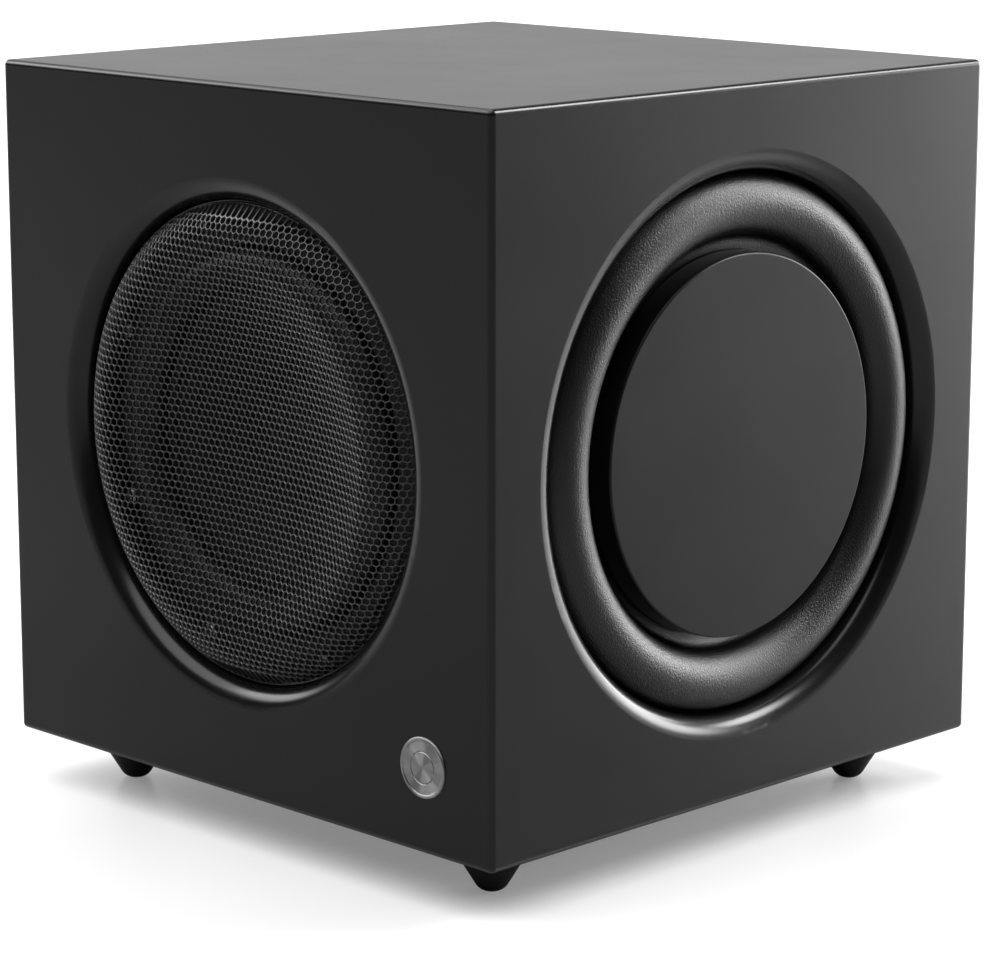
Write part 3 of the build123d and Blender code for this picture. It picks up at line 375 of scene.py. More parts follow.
# the finishes, one for each material slot
coatings = {
    # dark and light tone, roughness range, grain in mm, its depth in mm, blotch in mm, metal, specular
    "lacquer": dict(dark=(0.0030, 0.0030, 0.0031), light=(0.0042, 0.0042, 0.0043), rough=(0.215, 0.245),
                    lumps=0.9, depth=0.0028, blotch=60, level=0.45, fine=0.25),
    "disc_paint": dict(dark=(0.0060, 0.0060, 0.0061), light=(0.0080, 0.0080, 0.0081), rough=(0.29, 0.33),
                       lumps=0.45, depth=0.0030, blotch=30, level=0.26, fine=0.15),
    "grille_steel": dict(dark=(0.0100, 0.0100, 0.0102), light=(0.0160, 0.0160, 0.0162), rough=(0.32, 0.40),
                         lumps=0.18, depth=0.003, blotch=12, level=1.0),
    "cast_frame": dict(dark=grey(0.010), light=grey(0.018), rough=(0.50, 0.62), lumps=0.5, depth=0.02),
    "foot_rubber": dict(dark=grey(0.008), light=grey(0.014), rough=(0.40, 0.50), lumps=0.35, depth=0.004,
                        blotch=9),
    "gasket_foam": dict(dark=grey(0.012), light=grey(0.030), rough=(0.85, 0.95), lumps=0.35, depth=0.08,
                        blotch=3),
    "cone_plastic": dict(dark=grey(0.012), light=grey(0.020), rough=(0.42, 0.52), lumps=0.6, depth=0.006),
    "panel_plastic": dict(dark=grey(0.013), light=grey(0.019), rough=(0.52, 0.60), lumps=0.28, depth=0.016,
                          blotch=25),
    "knob_plastic": dict(dark=grey(0.014), light=grey(0.022), rough=(0.36, 0.44), lumps=0.3, depth=0.004,
                         blotch=8),
    "switch_plastic": dict(dark=grey(0.009), light=grey(0.013), rough=(0.18, 0.26), lumps=0.8,
                           depth=0.0015, blotch=7),
    "black_screws": dict(dark=grey(0.016), light=grey(0.040), rough=(0.30, 0.44), lumps=0.4, depth=0.006,
                         blotch=2.5, metallic=0.7),
    "zinc_steel": dict(dark=(0.36, 0.36, 0.37), light=(0.55, 0.55, 0.54), rough=(0.24, 0.40), lumps=0.5,
                       depth=0.004, blotch=4, metallic=1.0),
    "motor_steel": dict(dark=(0.30, 0.30, 0.30), light=(0.46, 0.45, 0.42), rough=(0.30, 0.46), lumps=0.7,
                        depth=0.006, blotch=12, metallic=1.0),
    "ferrite": dict(dark=(0.022, 0.022, 0.025), light=(0.050, 0.049, 0.052), rough=(0.62, 0.80),
                    lumps=0.6, depth=0.03, blotch=9),
    "pot_body": dict(dark=(0.38, 0.38, 0.37), light=(0.52, 0.51, 0.48), rough=(0.26, 0.40), lumps=0.5,
                     depth=0.004, blotch=5, metallic=1.0),
    "jack_nickel": dict(dark=(0.58, 0.54, 0.47), light=(0.72, 0.68, 0.60), rough=(0.12, 0.22), lumps=0.9,
                        depth=0.0015, blotch=3, metallic=1.0),
    "lead_sleeve": dict(dark=(0.010, 0.010, 0.010), light=(0.018, 0.018, 0.018), rough=(0.40, 0.52),
                        lumps=0.5, depth=0.006, blotch=12),
    "heat_sink_metal": dict(dark=(0.42, 0.42, 0.44), light=(0.56, 0.56, 0.58), rough=(0.34, 0.48),
                            lumps=0.8, depth=0.004, blotch=10, metallic=1.0),
    "jack_plastic": dict(dark=grey(0.62), light=grey(0.72), rough=(0.22, 0.32), lumps=0.6, depth=0.002,
                         blotch=4),
    "capacitor_sleeve": dict(dark=(0.012, 0.016, 0.035), light=(0.020, 0.026, 0.055), rough=(0.24, 0.34),
                             lumps=0.8, depth=0.004, blotch=8),
    "transformer_tape": dict(dark=(0.50, 0.34, 0.04), light=(0.66, 0.48, 0.08), rough=(0.30, 0.42),
                             lumps=1.2, depth=0.01, blotch=9),
    "led_lens": dict(dark=(0.10, 0.28, 0.55), light=(0.16, 0.38, 0.70), rough=(0.08, 0.16), lumps=0.5,
                     depth=0.002, blotch=1.5),
}
finish = {}
shaders = {}
for slotName, values in coatings.items():
    finish[slotName], tree, shader = coated(slotName, **values)
    shaders[slotName] = (tree, shader)


def colourBySide(slotName, axis, edge, beyond):
    # the material turns to another colour where one object coordinate is beyond edge (metres)
    tree, shader = shaders[slotName]
    inside = shader.inputs["Base Color"].links[0].from_socket
    parts = addNode(tree, "ShaderNodeSeparateXYZ", Vector=objectPlace(tree))
    test = addNode(tree, "ShaderNodeMath", {"operation": "GREATER_THAN"})
    tree.links.new(parts.outputs[axis], test.inputs[0])
    test.inputs[1].default_value = edge
    mix = addNode(tree, "ShaderNodeMix", {"data_type": "RGBA"})
    tree.links.new(test.outputs[0], mix.inputs["Factor"])
    tree.links.new(inside, mix.inputs[6])
    mix.inputs[7].default_value = (*beyond, 1)
    tree.links.new(mix.outputs[2], shader.inputs["Base Color"])


def middleOf(node):
    low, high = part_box(node)
    return (low + high) / 2


# the right channel's jack and the positive lead are red
jackRed, leadRed = (0.50, 0.012, 0.010), (0.42, 0.016, 0.012)
colourBySide("jack_plastic", "X", middleOf("rca_insulators").x, jackRed)
colourBySide("lead_sleeve", "X", 0.0, leadRed)


# patterned finishes: tones from dark to light, roughness range, depth of the relief in mm, and
# the sizes of their patterns in mm
looks = {
    "roll_rubber": dict(dark=grey(0.0018), light=grey(0.0030), rough=(0.33, 0.38), depth=0.20,
                        bloom=26, skin=0.58, skinGloss=0.03, level=0.55),
    "spun_metal": dict(dark=grey(0.32), light=grey(0.46), rough=(0.38, 0.46), depth=0.0012,
                       anisotropic=0.95, rotation=0.17),
    "cone_paper": dict(dark=grey(0.010), light=grey(0.030), rough=(0.68, 0.84), depth=0.05,
                       fibres=1.6, crossing=1.1),
    "former_paper": dict(dark=(0.20, 0.11, 0.035), light=(0.34, 0.20, 0.07), rough=(0.28, 0.42), depth=0.01,
                         wraps=1.0),
    # the coil's dark tone is painted shade in the grooves between its turns
    "coil_wire": dict(dark=(0.26, 0.075, 0.028), light=(0.62, 0.24, 0.10), rough=(0.34, 0.20), depth=0.12,
                      wire=0.3),
    "spider_cloth": dict(dark=(0.16, 0.085, 0.025), light=(0.44, 0.29, 0.12), rough=(0.5, 0.72), depth=0.10,
                         threads=(460, 95), resin=7, stain=0.25),
    "bare_board": dict(dark=(0.20, 0.125, 0.06), light=(0.42, 0.30, 0.17), rough=(0.78, 0.92), depth=0.05,
                       felt=1.4, flecks=5),
    "board_laminate": dict(dark=(0.006, 0.055, 0.022), light=(0.020, 0.13, 0.05), rough=(0.22, 0.34),
                           depth=0.035, cell=6, square=0.55, grain=2),
    "wadding_fibre": dict(dark=grey(0.42), light=grey(0.82), rough=(0.86, 0.98), depth=0.6,
                          strands=3.2, crossing=2.6, sheen=0.35),
    "print_white": dict(dark=grey(0.45), light=grey(0.68), rough=(0.42, 0.60), depth=0.01, wear=0.6),
}
waveTurns = 0.314    # a wave texture's scale for one band to a unit


def colour(tree, shader, share, look):
    # share 0 to 1 goes from the look's dark tone to its light one
    tree.links.new(between(tree, share, look["dark"], look["light"]), shader.inputs["Base Color"])


def gloss(tree, shader, value, look, start=0.3, end=0.7):
    # value from start to end goes over the look's roughness range
    tree.links.new(spread(tree, value, *look["rough"], start, end), shader.inputs["Roughness"])


def rollRubber(tree, shader, look):
    # satin rubber: even grain with a slight bloom, a little duller in patches
    bloom = grain(tree, look["bloom"], detail=5)
    skin = grain(tree, look["skin"], detail=2)
    colour(tree, shader, spread(tree, bloom, 0, 1), look)
    fine = spread(tree, skin, -look["skinGloss"], look["skinGloss"])
    tree.links.new(sumOf(tree, spread(tree, bloom, *look["rough"]), fine), shader.inputs["Roughness"])
    raised(tree, shader, skin, look["depth"])
    shader.inputs["Specular IOR Level"].default_value = look["level"]


def spunMetal(tree, shader, look):
    # turned face: fine rings across the radius, which the second coordinate of its own map follows
    where = pieceUv(tree)
    rings = grain(tree, 1, detail=2, stretch=(0.002, 0.34, 1), where=where)
    streaks = grain(tree, 1, detail=3, stretch=(0.02, 0.12, 1), where=where)
    colour(tree, shader, spread(tree, streaks, 0, 1), look)
    gloss(tree, shader, rings, look)
    raised(tree, shader, rings, look["depth"])
    tangent = addNode(tree, "ShaderNodeTangent", {"direction_type": "UV_MAP", "uv_map": "surface"})
    tree.links.new(tangent.outputs[0], shader.inputs["Tangent"])
    shader.inputs["Anisotropic"].default_value = look["anisotropic"]
    shader.inputs["Anisotropic Rotation"].default_value = look["rotation"]
    shader.inputs["Metallic"].default_value = 1.0


def conePaper(tree, shader, look):
    # pressed pulp: short fibres lying every way, darker between them
    fibres = grain(tree, look["fibres"], detail=6, roughness=0.72, stretch=(1, 3, 1))
    crossing = grain(tree, look["crossing"], detail=6, roughness=0.72, stretch=(3, 1, 1))
    both = sumOf(tree, fibres, crossing)
    colour(tree, shader, spread(tree, both, 0, 1, 0.7, 1.3), look)
    gloss(tree, shader, both, look, 0.7, 1.3)
    raised(tree, shader, both, look["depth"])


def formerPaper(tree, shader, look):
    # brown paper wound round: faint lines along the axis of the former
    wraps = grain(tree, look["wraps"], detail=3, stretch=(0.2, 3, 0.2))
    colour(tree, shader, spread(tree, wraps, 0, 1), look)
    gloss(tree, shader, wraps, look)
    raised(tree, shader, wraps, look["depth"])


def coilWire(tree, shader, look):
    # enamelled copper: round turns side by side along the coil, as a sine of the place along it; the colour
    # carries painted shade in the grooves between turns and is lighter on each turn's crown
    turns = addNode(tree, "ShaderNodeTexWave", {"bands_direction": "Y"}, Vector=objectPlace(tree),
                    Scale=waveTurns / (look["wire"] * mm), Distortion=0.15, Detail=1.0).outputs["Fac"]
    # painted shade: the colour darkens in the grooves between neighbouring turns
    colour(tree, shader, turns, look)
    gloss(tree, shader, turns, look, 0, 1)
    raised(tree, shader, turns, look["depth"])
    shader.inputs["Metallic"].default_value = 1.0


def spiderCloth(tree, shader, look):
    # resin-stiffened cotton: the higher of two sets of threads at right angles, under uneven resin
    weave = addNode(tree, "ShaderNodeMath", {"operation": "MAXIMUM"})
    where = pieceUv(tree)
    for index, (direction, count) in enumerate(zip("XY", look["threads"])):
        threads = addNode(tree, "ShaderNodeTexWave", {"bands_direction": direction}, Vector=where,
                          Scale=waveTurns * count, Distortion=0.4, Detail=1.0, Detail_Scale=3.0)
        tree.links.new(threads.outputs["Fac"], weave.inputs[index])
    resin = grain(tree, look["resin"], detail=4)
    stain = spread(tree, resin, -look["stain"], look["stain"])
    colour(tree, shader, sumOf(tree, weave.outputs[0], stain), look)
    gloss(tree, shader, resin, look)
    raised(tree, shader, weave.outputs[0], look["depth"])


def bareBoard(tree, shader, look):
    # fibreboard: felted fine fibres, with paler flecks
    felt = grain(tree, look["felt"], detail=7, roughness=0.7)
    flecks = grain(tree, look["flecks"], detail=4, stretch=(1, 1, 4))
    colour(tree, shader, spread(tree, sumOf(tree, felt, flecks), 0, 1, 0.75, 1.3), look)
    gloss(tree, shader, felt, look)
    raised(tree, shader, felt, look["depth"])


def boardLaminate(tree, shader, look):
    # solder mask over copper tracks: the lines between square-edged cells stand lighter and proud
    cells = addNode(tree, "ShaderNodeTexVoronoi", {"distance": "CHEBYCHEV", "feature": "DISTANCE_TO_EDGE"},
                    Vector=objectPlace(tree), Scale=1 / (look["cell"] * mm), Randomness=look["square"])
    tracks = spread(tree, cells.outputs["Distance"], 1, 0, 0.05, 0.09)
    colour(tree, shader, tracks, look)
    gloss(tree, shader, grain(tree, look["grain"]), look)
    raised(tree, shader, tracks, look["depth"])


def waddingFibre(tree, shader, look):
    # loose polyester: long fine fibres over soft hollows
    strands = grain(tree, look["strands"], detail=8, roughness=0.78, stretch=(1, 1, 5))
    crossing = grain(tree, look["crossing"], detail=8, roughness=0.78, stretch=(1, 5, 1))
    both = sumOf(tree, strands, crossing)
    colour(tree, shader, spread(tree, both, 0, 1, 0.75, 1.25), look)
    gloss(tree, shader, both, look, 0.7, 1.3)
    raised(tree, shader, both, look["depth"])
    shader.inputs["Sheen Weight"].default_value = look["sheen"]


def printWhite(tree, shader, look):
    # screen-printed ink, a little thinner where it's worn
    worn = grain(tree, look["wear"], detail=4)
    colour(tree, shader, spread(tree, worn, 0, 1, 0.25, 0.5), look)
    gloss(tree, shader, worn, look)
    raised(tree, shader, worn, look["depth"])


for maker, slotName in ((rollRubber, "roll_rubber"), (spunMetal, "spun_metal"), (conePaper, "cone_paper"),
                        (formerPaper, "former_paper"), (coilWire, "coil_wire"), (spiderCloth, "spider_cloth"),
                        (bareBoard, "bare_board"), (boardLaminate, "board_laminate"),
                        (waddingFibre, "wadding_fibre"), (printWhite, "print_white")):
    finish[slotName], tree, shader = startMaterial(slotName)
    maker(tree, shader, looks[slotName])

shaders["led_lens"][1].inputs["Coat Weight"].default_value = 0.6
shaders["foot_rubber"][1].inputs["Specular IOR Level"].default_value = 0.55

slotOfNode = {part["node"]: part["material_slot"] for part in frame["record"]["subparts"]}
for node, cadPiece in frame["nodes"].items():
    cadPiece.data.materials.clear()
    cadPiece.data.materials.append(finish[slotOfNode[node]])
print("finishes made:", len(finish))


# floor
def makeFloor():
    # a white sweep; in the paint's own reflections it counts as the greyer floor of a dim studio, and
    # floorFill is a slight brightness of its own that only the camera sees
    material, tree, shader = startMaterial("floor")
    seen = addNode(tree, "ShaderNodeLightPath").outputs["Is Camera Ray"]
    tree.links.new(between(tree, seen, grey(studio["floorBounce"]), grey(studio["floorTone"])),
                   shader.inputs["Base Color"])
    tree.links.new(spread(tree, grain(tree, studio["floorBlotch"]), *studio["floorRough"]),
                   shader.inputs["Roughness"])
    shader.inputs["Emission Color"].default_value = (1, 1, 1, 1)
    tree.links.new(spread(tree, seen, 0, studio["floorFill"], 0, 1), shader.inputs["Emission Strength"])
    reach = studio["floorSize"] / 2 / mm
    corners = np.array([[-reach, -reach, 0], [reach, -reach, 0], [reach, reach, 0], [-reach, reach, 0]])
    floor = makeMesh("floor", corners, [np.array([[0, 1, 2, 3]])], smooth=False)
    floor.data.materials.append(material)


placeLights()
makeFloor()
print("camera, lights and floor placed")


# perforated grille
grille = {
    "rim": 84.0,            # outer radius of the formed sheet
    "pitch": 2.86,          # from hole to hole along a row
    "bar": 0.46,            # width of metal between two holes
    "edgeRound": 0.13,      # rolled edge of each hole on the front
    "sheet": 1.0,           # its thickness
    "dishRadius": 280.0, "flankRadius": 130.0, "crestRadius": 20.0,
    "dishSlope": 6.5, "flankSlope": 20.0,   # degrees, where one arc runs into the next
    "crestHeight": 1.5,     # how far the crest stands out of the front face
    "overhang": 0.12,       # part of a pitch by which the middle of a cut hole may lie past the rim
}


def grilleHeight(radius):
    # three arcs in line: a wide dish, a steeper flank, then the crest that turns down to the rim;
    # returns the height above the front face and the slope dh/dr
    dish, flank = math.radians(grille["dishSlope"]), math.radians(grille["flankSlope"])
    wide, middle, tight = grille["dishRadius"], grille["flankRadius"], grille["crestRadius"]
    crestR = (wide - middle) * math.sin(dish) + (middle + tight) * math.sin(flank)
    crestH = grille["crestHeight"] - tight
    flankR = crestR - (middle + tight) * math.sin(flank)
    flankH = crestH + (middle + tight) * math.cos(flank)
    dishH = flankH + (wide - middle) * math.cos(dish)
    dishEnd, flankEnd = wide * math.sin(dish), crestR - tight * math.sin(flank)
    r = np.minimum(radius, grille["rim"])
    onDish = dishH - np.sqrt(wide**2 - r**2)
    onFlank = flankH - np.sqrt(np.maximum(middle**2 - (r - flankR)**2, 0))
    onCrest = crestH + np.sqrt(np.maximum(tight**2 - (r - crestR)**2, 1e-9))
    height = np.where(r < dishEnd, onDish, np.where(r < flankEnd, onFlank, onCrest))
    dishSlope = r / np.sqrt(wide**2 - r**2)
    flankSlope = (r - flankR) / np.sqrt(np.maximum(middle**2 - (r - flankR)**2, 1))
    crestSlope = (crestR - r) / np.sqrt(np.maximum(tight**2 - (r - crestR)**2, 1))
    return height, np.where(r < dishEnd, dishSlope, np.where(r < flankEnd, flankSlope, crestSlope))


def onGrille(plan, depth):
    # the plan point carried to the sheet's front face and then depth mm back along its normal
    radius = np.maximum(np.hypot(plan[:, 0], plan[:, 1]), 1e-6)
    height, slope = grilleHeight(radius)
    length = np.sqrt(1 + slope**2)
    inward = plan * (slope / length / radius)[:, None] * depth
    return onFront(plan[:, 0] + inward[:, 0], plan[:, 1] + inward[:, 1], height - depth / length)


def layOnSheet(plan):
    # holes are punched while the sheet is flat: distance along the formed section becomes plan radius;
    # returns the laid plan and the flat sheet's outer radius
    radius = np.linspace(0, grille["rim"], 2000)
    steps = np.hypot(np.diff(radius), np.diff(grilleHeight(radius)[0]))
    along = np.concatenate([[0], np.cumsum(steps)])
    flatRadius = np.hypot(plan[:, 0], plan[:, 1])
    laid = np.interp(flatRadius, along, radius) / np.maximum(flatRadius, 1e-6)
    return plan * laid[:, None], along[-1]


def makeGrille():
    # hexagonal cells in staggered rows; each cell shares its six corners with its neighbours
    pitch = grille["pitch"]
    rim = layOnSheet(np.zeros((1, 2)))[1]
    count = int(rim / pitch) + 3
    column, row = np.meshgrid(np.arange(-count, count + 1), np.arange(-count, count + 1))
    cells = np.stack([column + 0.5 * (row % 2), row * math.sqrt(3) / 2], -1).reshape(-1, 2) * pitch
    cells = cells[np.hypot(*cells.T) < rim + grille["overhang"] * pitch]
    turn = np.radians(np.arange(6) * 60)
    spokes = np.stack([-np.sin(turn), np.cos(turn)], -1) * pitch / math.sqrt(3)
    everyCorner = (cells[:, None, :] + spokes[None]).reshape(-1, 2)
    _, firstUse, cornerOf = np.unique(np.round(everyCorner, 3), axis=0,
                                      return_index=True, return_inverse=True)
    corners = everyCorner[firstUse]
    cornerOf = cornerOf.reshape(-1, 6)

    # corners on the outside of the pattern move out to the rim circle
    edges = np.stack([cornerOf, np.roll(cornerOf, -1, 1)], -1).reshape(-1, 2)
    _, edgeId, uses = np.unique(np.sort(edges, 1), axis=0, return_inverse=True, return_counts=True)
    outside = edges[uses[edgeId.ravel()] == 1]
    onRim = np.unique(outside)
    corners[onRim] *= (rim / np.hypot(*corners[onRim].T))[:, None]

    around = corners[cornerOf]
    middle = around.mean(1)[:, None, :]
    opening, lip = 1 - grille["bar"] / pitch, 2 * grille["edgeRound"] / pitch
    flat = (middle + (around - middle) * (opening + lip)).reshape(-1, 2)
    mouth = (middle + (around - middle) * opening).reshape(-1, 2)
    rings = [(corners, 0.0), (flat, 0.0), (mouth, grille["edgeRound"]), (mouth, grille["sheet"]),
             (corners, grille["sheet"])]
    points = np.concatenate([onGrille(layOnSheet(plan)[0], depth) for plan, depth in rings])
    start = np.concatenate([[0], np.cumsum([len(plan) for plan, _ in rings])])
    ofHole = np.arange(cornerOf.size).reshape(-1, 6)
    loops = [start[0] + cornerOf, *(start[k] + ofHole for k in (1, 2, 3)), start[4] + cornerOf]
    bands = [np.stack([outer, np.roll(outer, -1, 1), np.roll(inner, -1, 1), inner], -1).reshape(-1, 4)
             for outer, inner in zip(loops, loops[1:])]
    rimWall = np.stack([outside[:, 1], outside[:, 0], start[4] + outside[:, 0], start[4] + outside[:, 1]], -1)
    piece = makeMesh("perforated_grille", points, [*bands, rimWall])
    facesOutwards(piece)
    sharpenAbove(piece, 60)
    finishPiece(piece, "grille_steel", "grille_mesh")
    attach(piece, "cabinet")


makeGrille()


# half-roll suspensions: radius of the roll's middle line and of its own section, thickness of the rubber,
# height of the lips' underside out of the face, radii of the lips' edges, and radius of the root fillets
rolls = {
    "woofer": {"centre": 60.0, "radius": 8.0, "rubber": 1.0, "base": -15.0, "inner": 49.0, "outer": 75.5,
               "root": 0.8, "place": onFront, "body": "woofer_moving", "steps": 256},
    "radiator": {"centre": 83.3, "radius": 11.1, "rubber": 1.2, "base": -13.5, "inner": 66.3, "outer": 97.5,
                 "root": 3.4, "place": onSide, "body": "radiator_moving", "steps": 384},
}


def arcPoints(centreR, centreH, radius, start, end, count):
    # angles in degrees, 0 pointing away from the axis and 90 out of the face
    angle = np.radians(np.linspace(start, end, count))
    return centreR + radius * np.cos(angle), centreH + radius * np.sin(angle)


def makeRoll(name, values):
    # section: outer lip, root fillet, half circle, root fillet, inner lip, whose top is half the rubber
    # lower, and back along the underside
    top = values["base"] + values["rubber"]
    centre, radius, root = values["centre"], values["radius"], values["root"]
    bore = radius - values["rubber"]
    lean = math.degrees(math.asin(root / (radius + root)))
    reach = (radius + root) * math.cos(math.radians(lean))
    sections = [
        (np.array([values["outer"]]), np.array([top])),
        arcPoints(centre + reach, top + root, root, 270, 180 + lean, 6),
        arcPoints(centre, top, radius, lean, 180 - lean, 72),
        arcPoints(centre - reach, top + root, root, -lean, -90, 6),
        (np.array([values["inner"], values["inner"], centre - bore]),
         np.array([top - 0.5 * values["rubber"], values["base"], values["base"]])),
        arcPoints(centre, top, bore, 180, 0, 48),
        (np.array([centre + bore, values["outer"]]), np.array([values["base"], values["base"]])),
    ]
    section = np.concatenate([np.stack(part, -1) for part in sections])
    piece = turnSection(name + "_roll", section[:, 0], section[:, 1], values["steps"], values["place"])
    sharpenAbove(piece, 50)
    finishPiece(piece, "roll_rubber", name + "_surround")
    distance = fromMiddle(piece, values["place"])
    bendWith(piece, 1 - easeBetween(distance, centre - radius, centre + radius))


for name, values in rolls.items():
    makeRoll(name, values)


# rippled spiders: radii of the edges, height of the middle, swing of the ripples, width of the flat lips
spiders = {
    "woofer": {"inner": 19.3, "outer": 50.5, "middle": -43.7, "swing": 1.6, "lip": 3.6, "place": onFront,
               "body": "woofer_moving"},
    "radiator": {"inner": 21.0, "outer": 52.0, "middle": -49.2, "swing": 1.8, "lip": 4.0, "place": onSide,
                 "body": "radiator_moving"},
}
cloth = {"thick": 0.6, "ripples": 2.5, "fade": 0.06, "samples": 90, "steps": 240}


def makeSpider(name, values):
    # height = middle + swing * sin(turns) * fade, where fade goes to nothing at both flat lips
    start, end = values["inner"] + values["lip"], values["outer"] - values["lip"]
    radius = np.linspace(values["inner"], values["outer"], cloth["samples"])
    share = np.clip((radius - start) / (end - start), 0, 1)
    fade = easeBetween(share, 0, cloth["fade"]) * (1 - easeBetween(share, 1 - cloth["fade"], 1))
    height = values["middle"] + values["swing"] * np.sin(share * fullTurn * cloth["ripples"]) * fade
    section = np.concatenate([np.stack([radius, height + cloth["thick"] / 2], -1),
                              np.stack([radius, height - cloth["thick"] / 2], -1)[::-1]])
    piece = turnSection(name + "_spider_cloth", section[:, 0], section[:, 1], cloth["steps"], values["place"])
    sharpenAbove(piece, 50)
    finishPiece(piece, "spider_cloth", name + "_spider")
    bendWith(piece, 1 - easeBetween(fromMiddle(piece, values["place"]), start, end))


for name, values in spiders.items():
    makeSpider(name, values)


# braided leads from the terminals to the cone
braid = {"radius": 0.5, "strands": 8, "pitch": 3.2, "swell": 0.12, "sideSteps": 24, "rows": 110,
         "fixed": 0.04, "free": 0.98}    # share of the length where its weight starts to rise from 0 and where it reaches 1
# across (for the lead on the +X side), up and out, from the terminal board up to the cone
leadRoute = np.array([(11.0, -58, -43.0), (11.0, -58, -39.8), (10.7, -54.5, -36.6), (10.2, -49.5, -34.6),
                      (9.7, -44, -33.0), (9.2, -39.5, -30.2), (9.0, -37.6, -26.4)])
awayFromLead = (0.35, 0.2, 0.9)    # a direction that neither lead ever runs along


def alongCurve(control, count):
    # Catmull-Rom curve through the control points: position and direction at count places
    padded = np.concatenate([[2 * control[0] - control[1]], control, [2 * control[-1] - control[-2]]])
    at = np.linspace(0, len(control) - 1, count)
    index = np.minimum(at.astype(int), len(control) - 2)
    t = (at - index)[:, None]
    p0, p1, p2, p3 = (padded[index + k] for k in range(4))
    place = 0.5 * (2 * p1 + (p2 - p0) * t + (2 * p0 - 5 * p1 + 4 * p2 - p3) * t**2
                   + (3 * p1 - p0 - 3 * p2 + p3) * t**3)
    heading = np.gradient(place, axis=0)
    return place, heading / np.linalg.norm(heading, axis=1)[:, None]


def makeLeads():
    # a round tube whose skin swells where strands cross:
    # radius * (1 + swell * cos(strands * angle) * cos(turns along the run))
    turn = np.linspace(0, fullTurn, braid["sideSteps"], endpoint=False)
    allPoints, faceSets, share = [], [], []
    for side in (-1, 1):
        place, heading = alongCurve(onFront(*(leadRoute * (side, 1, 1)).T), braid["rows"])
        sideways = np.cross(heading, awayFromLead)
        sideways /= np.linalg.norm(sideways, axis=1)[:, None]
        upwards = np.cross(heading, sideways)
        run = np.concatenate([[0], np.cumsum(np.linalg.norm(np.diff(place, axis=0), axis=1))])
        crossings = np.cos(braid["strands"] * turn) * np.cos(fullTurn * run / braid["pitch"])[:, None]
        ring = sideways[:, None] * np.cos(turn)[:, None] + upwards[:, None] * np.sin(turn)[:, None]
        tube = place[:, None] + ring * (braid["radius"] * (1 + braid["swell"] * crossings))[..., None]
        first = sum(len(points) for points in allPoints)
        allPoints += [tube.reshape(-1, 3), place[[0, -1]]]
        rows, steps = tube.shape[:2]
        faceSets += [first + faces for faces in (gridFaces(rows, steps), *endFans(rows, steps))]
        share += [np.repeat(run / run[-1], steps), np.array([0, 1])]
    piece = makeMesh("flexible_leads", np.concatenate(allPoints), faceSets)
    facesOutwards(piece)
    finishPiece(piece, "coil_wire", "tinsel_leads")
    bendWith(piece, easeBetween(np.concatenate(share), braid["fixed"], braid["free"]))


makeLeads()


# badge
badge = {
    "across": 93.0, "up": 49.0 - centreZ / mm,    # its middle, from the middle of the front
    "front": 0.45, "rim": 0.7, "back": -1.0,      # heights of the face, the raised rim and the back
    "groove": 5.5,                                # radius of the ring pressed into the face
    "steps": 192,
}


def makeBadge():
    # section from the middle of the face out over the groove to the rim, and round to the back
    front, rim, back, groove = badge["front"], badge["rim"], badge["back"], badge["groove"]
    section = np.array([
        *((radius, front) for radius in np.linspace(0.15, groove - 0.35, 26)),
        (groove - 0.28, front - 0.06), (groove - 0.2, front - 0.18), (groove, front - 0.22),
        (groove + 0.2, front - 0.18), (groove + 0.28, front - 0.06),
        *((radius, front) for radius in np.linspace(groove + 0.35, 9.1, 20)),
        (9.28, front + 0.03), (9.4, front + 0.12), (9.48, rim - 0.04), (9.6, rim),
        (9.9, rim), (10.15, rim), (10.3, rim - 0.04), (10.42, rim - 0.13), (10.49, rim - 0.28),
        (10.5, rim - 0.4), (10.5, back + 0.2), (10.2, back), (0.2, back),
    ])
    piece = turnSection("spun_badge", section[:, 0], section[:, 1], badge["steps"], onFront,
                        centre=(badge["across"], badge["up"]), solid=True)
    sharpenAbove(piece, 40)

    # the map's second coordinate becomes the distance from the badge's middle, for the turned rings
    layer = piece.data.uv_layers["surface"]
    corners = np.zeros(len(piece.data.loops), np.int32)
    piece.data.loops.foreach_get("vertex_index", corners)
    places = readPoints(piece)
    distance = np.hypot(places[:, 0] - badge["across"], places[:, 2] - centreZ / mm - badge["up"])
    uv = np.zeros(len(corners) * 2, np.float32)
    layer.data.foreach_get("uv", uv)
    uv = uv.reshape(-1, 2)
    uv[:, 1] = distance[corners] * mm
    layer.data.foreach_set("uv", uv.ravel())
    finishPiece(piece, "spun_metal", "front_badge")
    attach(piece, "cabinet")


makeBadge()


# printed scales on the back, and the knobs' pointers
printing = {"sheet": 0.06, "sunk": 0.02, "floor": -16.0, "count": 11, "sweep": 300,
            "inner": 11.2, "outer": 13.4, "longer": 0.9, "width": 0.5}
pointer = {"up": 5.0, "width": 1.16, "length": 5.9, "low": 0.72, "high": 1.32}
knobs = {"volume": ((-42.0, 38.0), "volume_control"), "crossover": ((-8.0, 38.0), "crossover_control")}


def barSet(across, up, wide, tall, turn, low, high):
    # one slab for each row of the arrays: middle, size, turn on the face, and its two heights
    corner = np.array([[-1, -1], [1, -1], [1, 1], [-1, 1]]) / 2
    x, y = corner[:, 0] * wide[:, None], corner[:, 1] * tall[:, None]
    planX = across[:, None] + x * np.cos(turn)[:, None] - y * np.sin(turn)[:, None]
    planY = up[:, None] + x * np.sin(turn)[:, None] + y * np.cos(turn)[:, None]
    levels = [onRear(planX.ravel(), planY.ravel(), np.full(planX.size, float(level)))
              for level in (low, high)]
    points = np.stack([level.reshape(-1, 4, 3) for level in levels], 1).reshape(-1, 3)
    walls = np.array([[0, 1, 2, 3], [4, 5, 6, 7], [0, 1, 5, 4], [1, 2, 6, 5], [2, 3, 7, 6], [3, 0, 4, 7]])
    return points, (np.arange(len(across))[:, None, None] * 8 + walls).reshape(-1, 4)


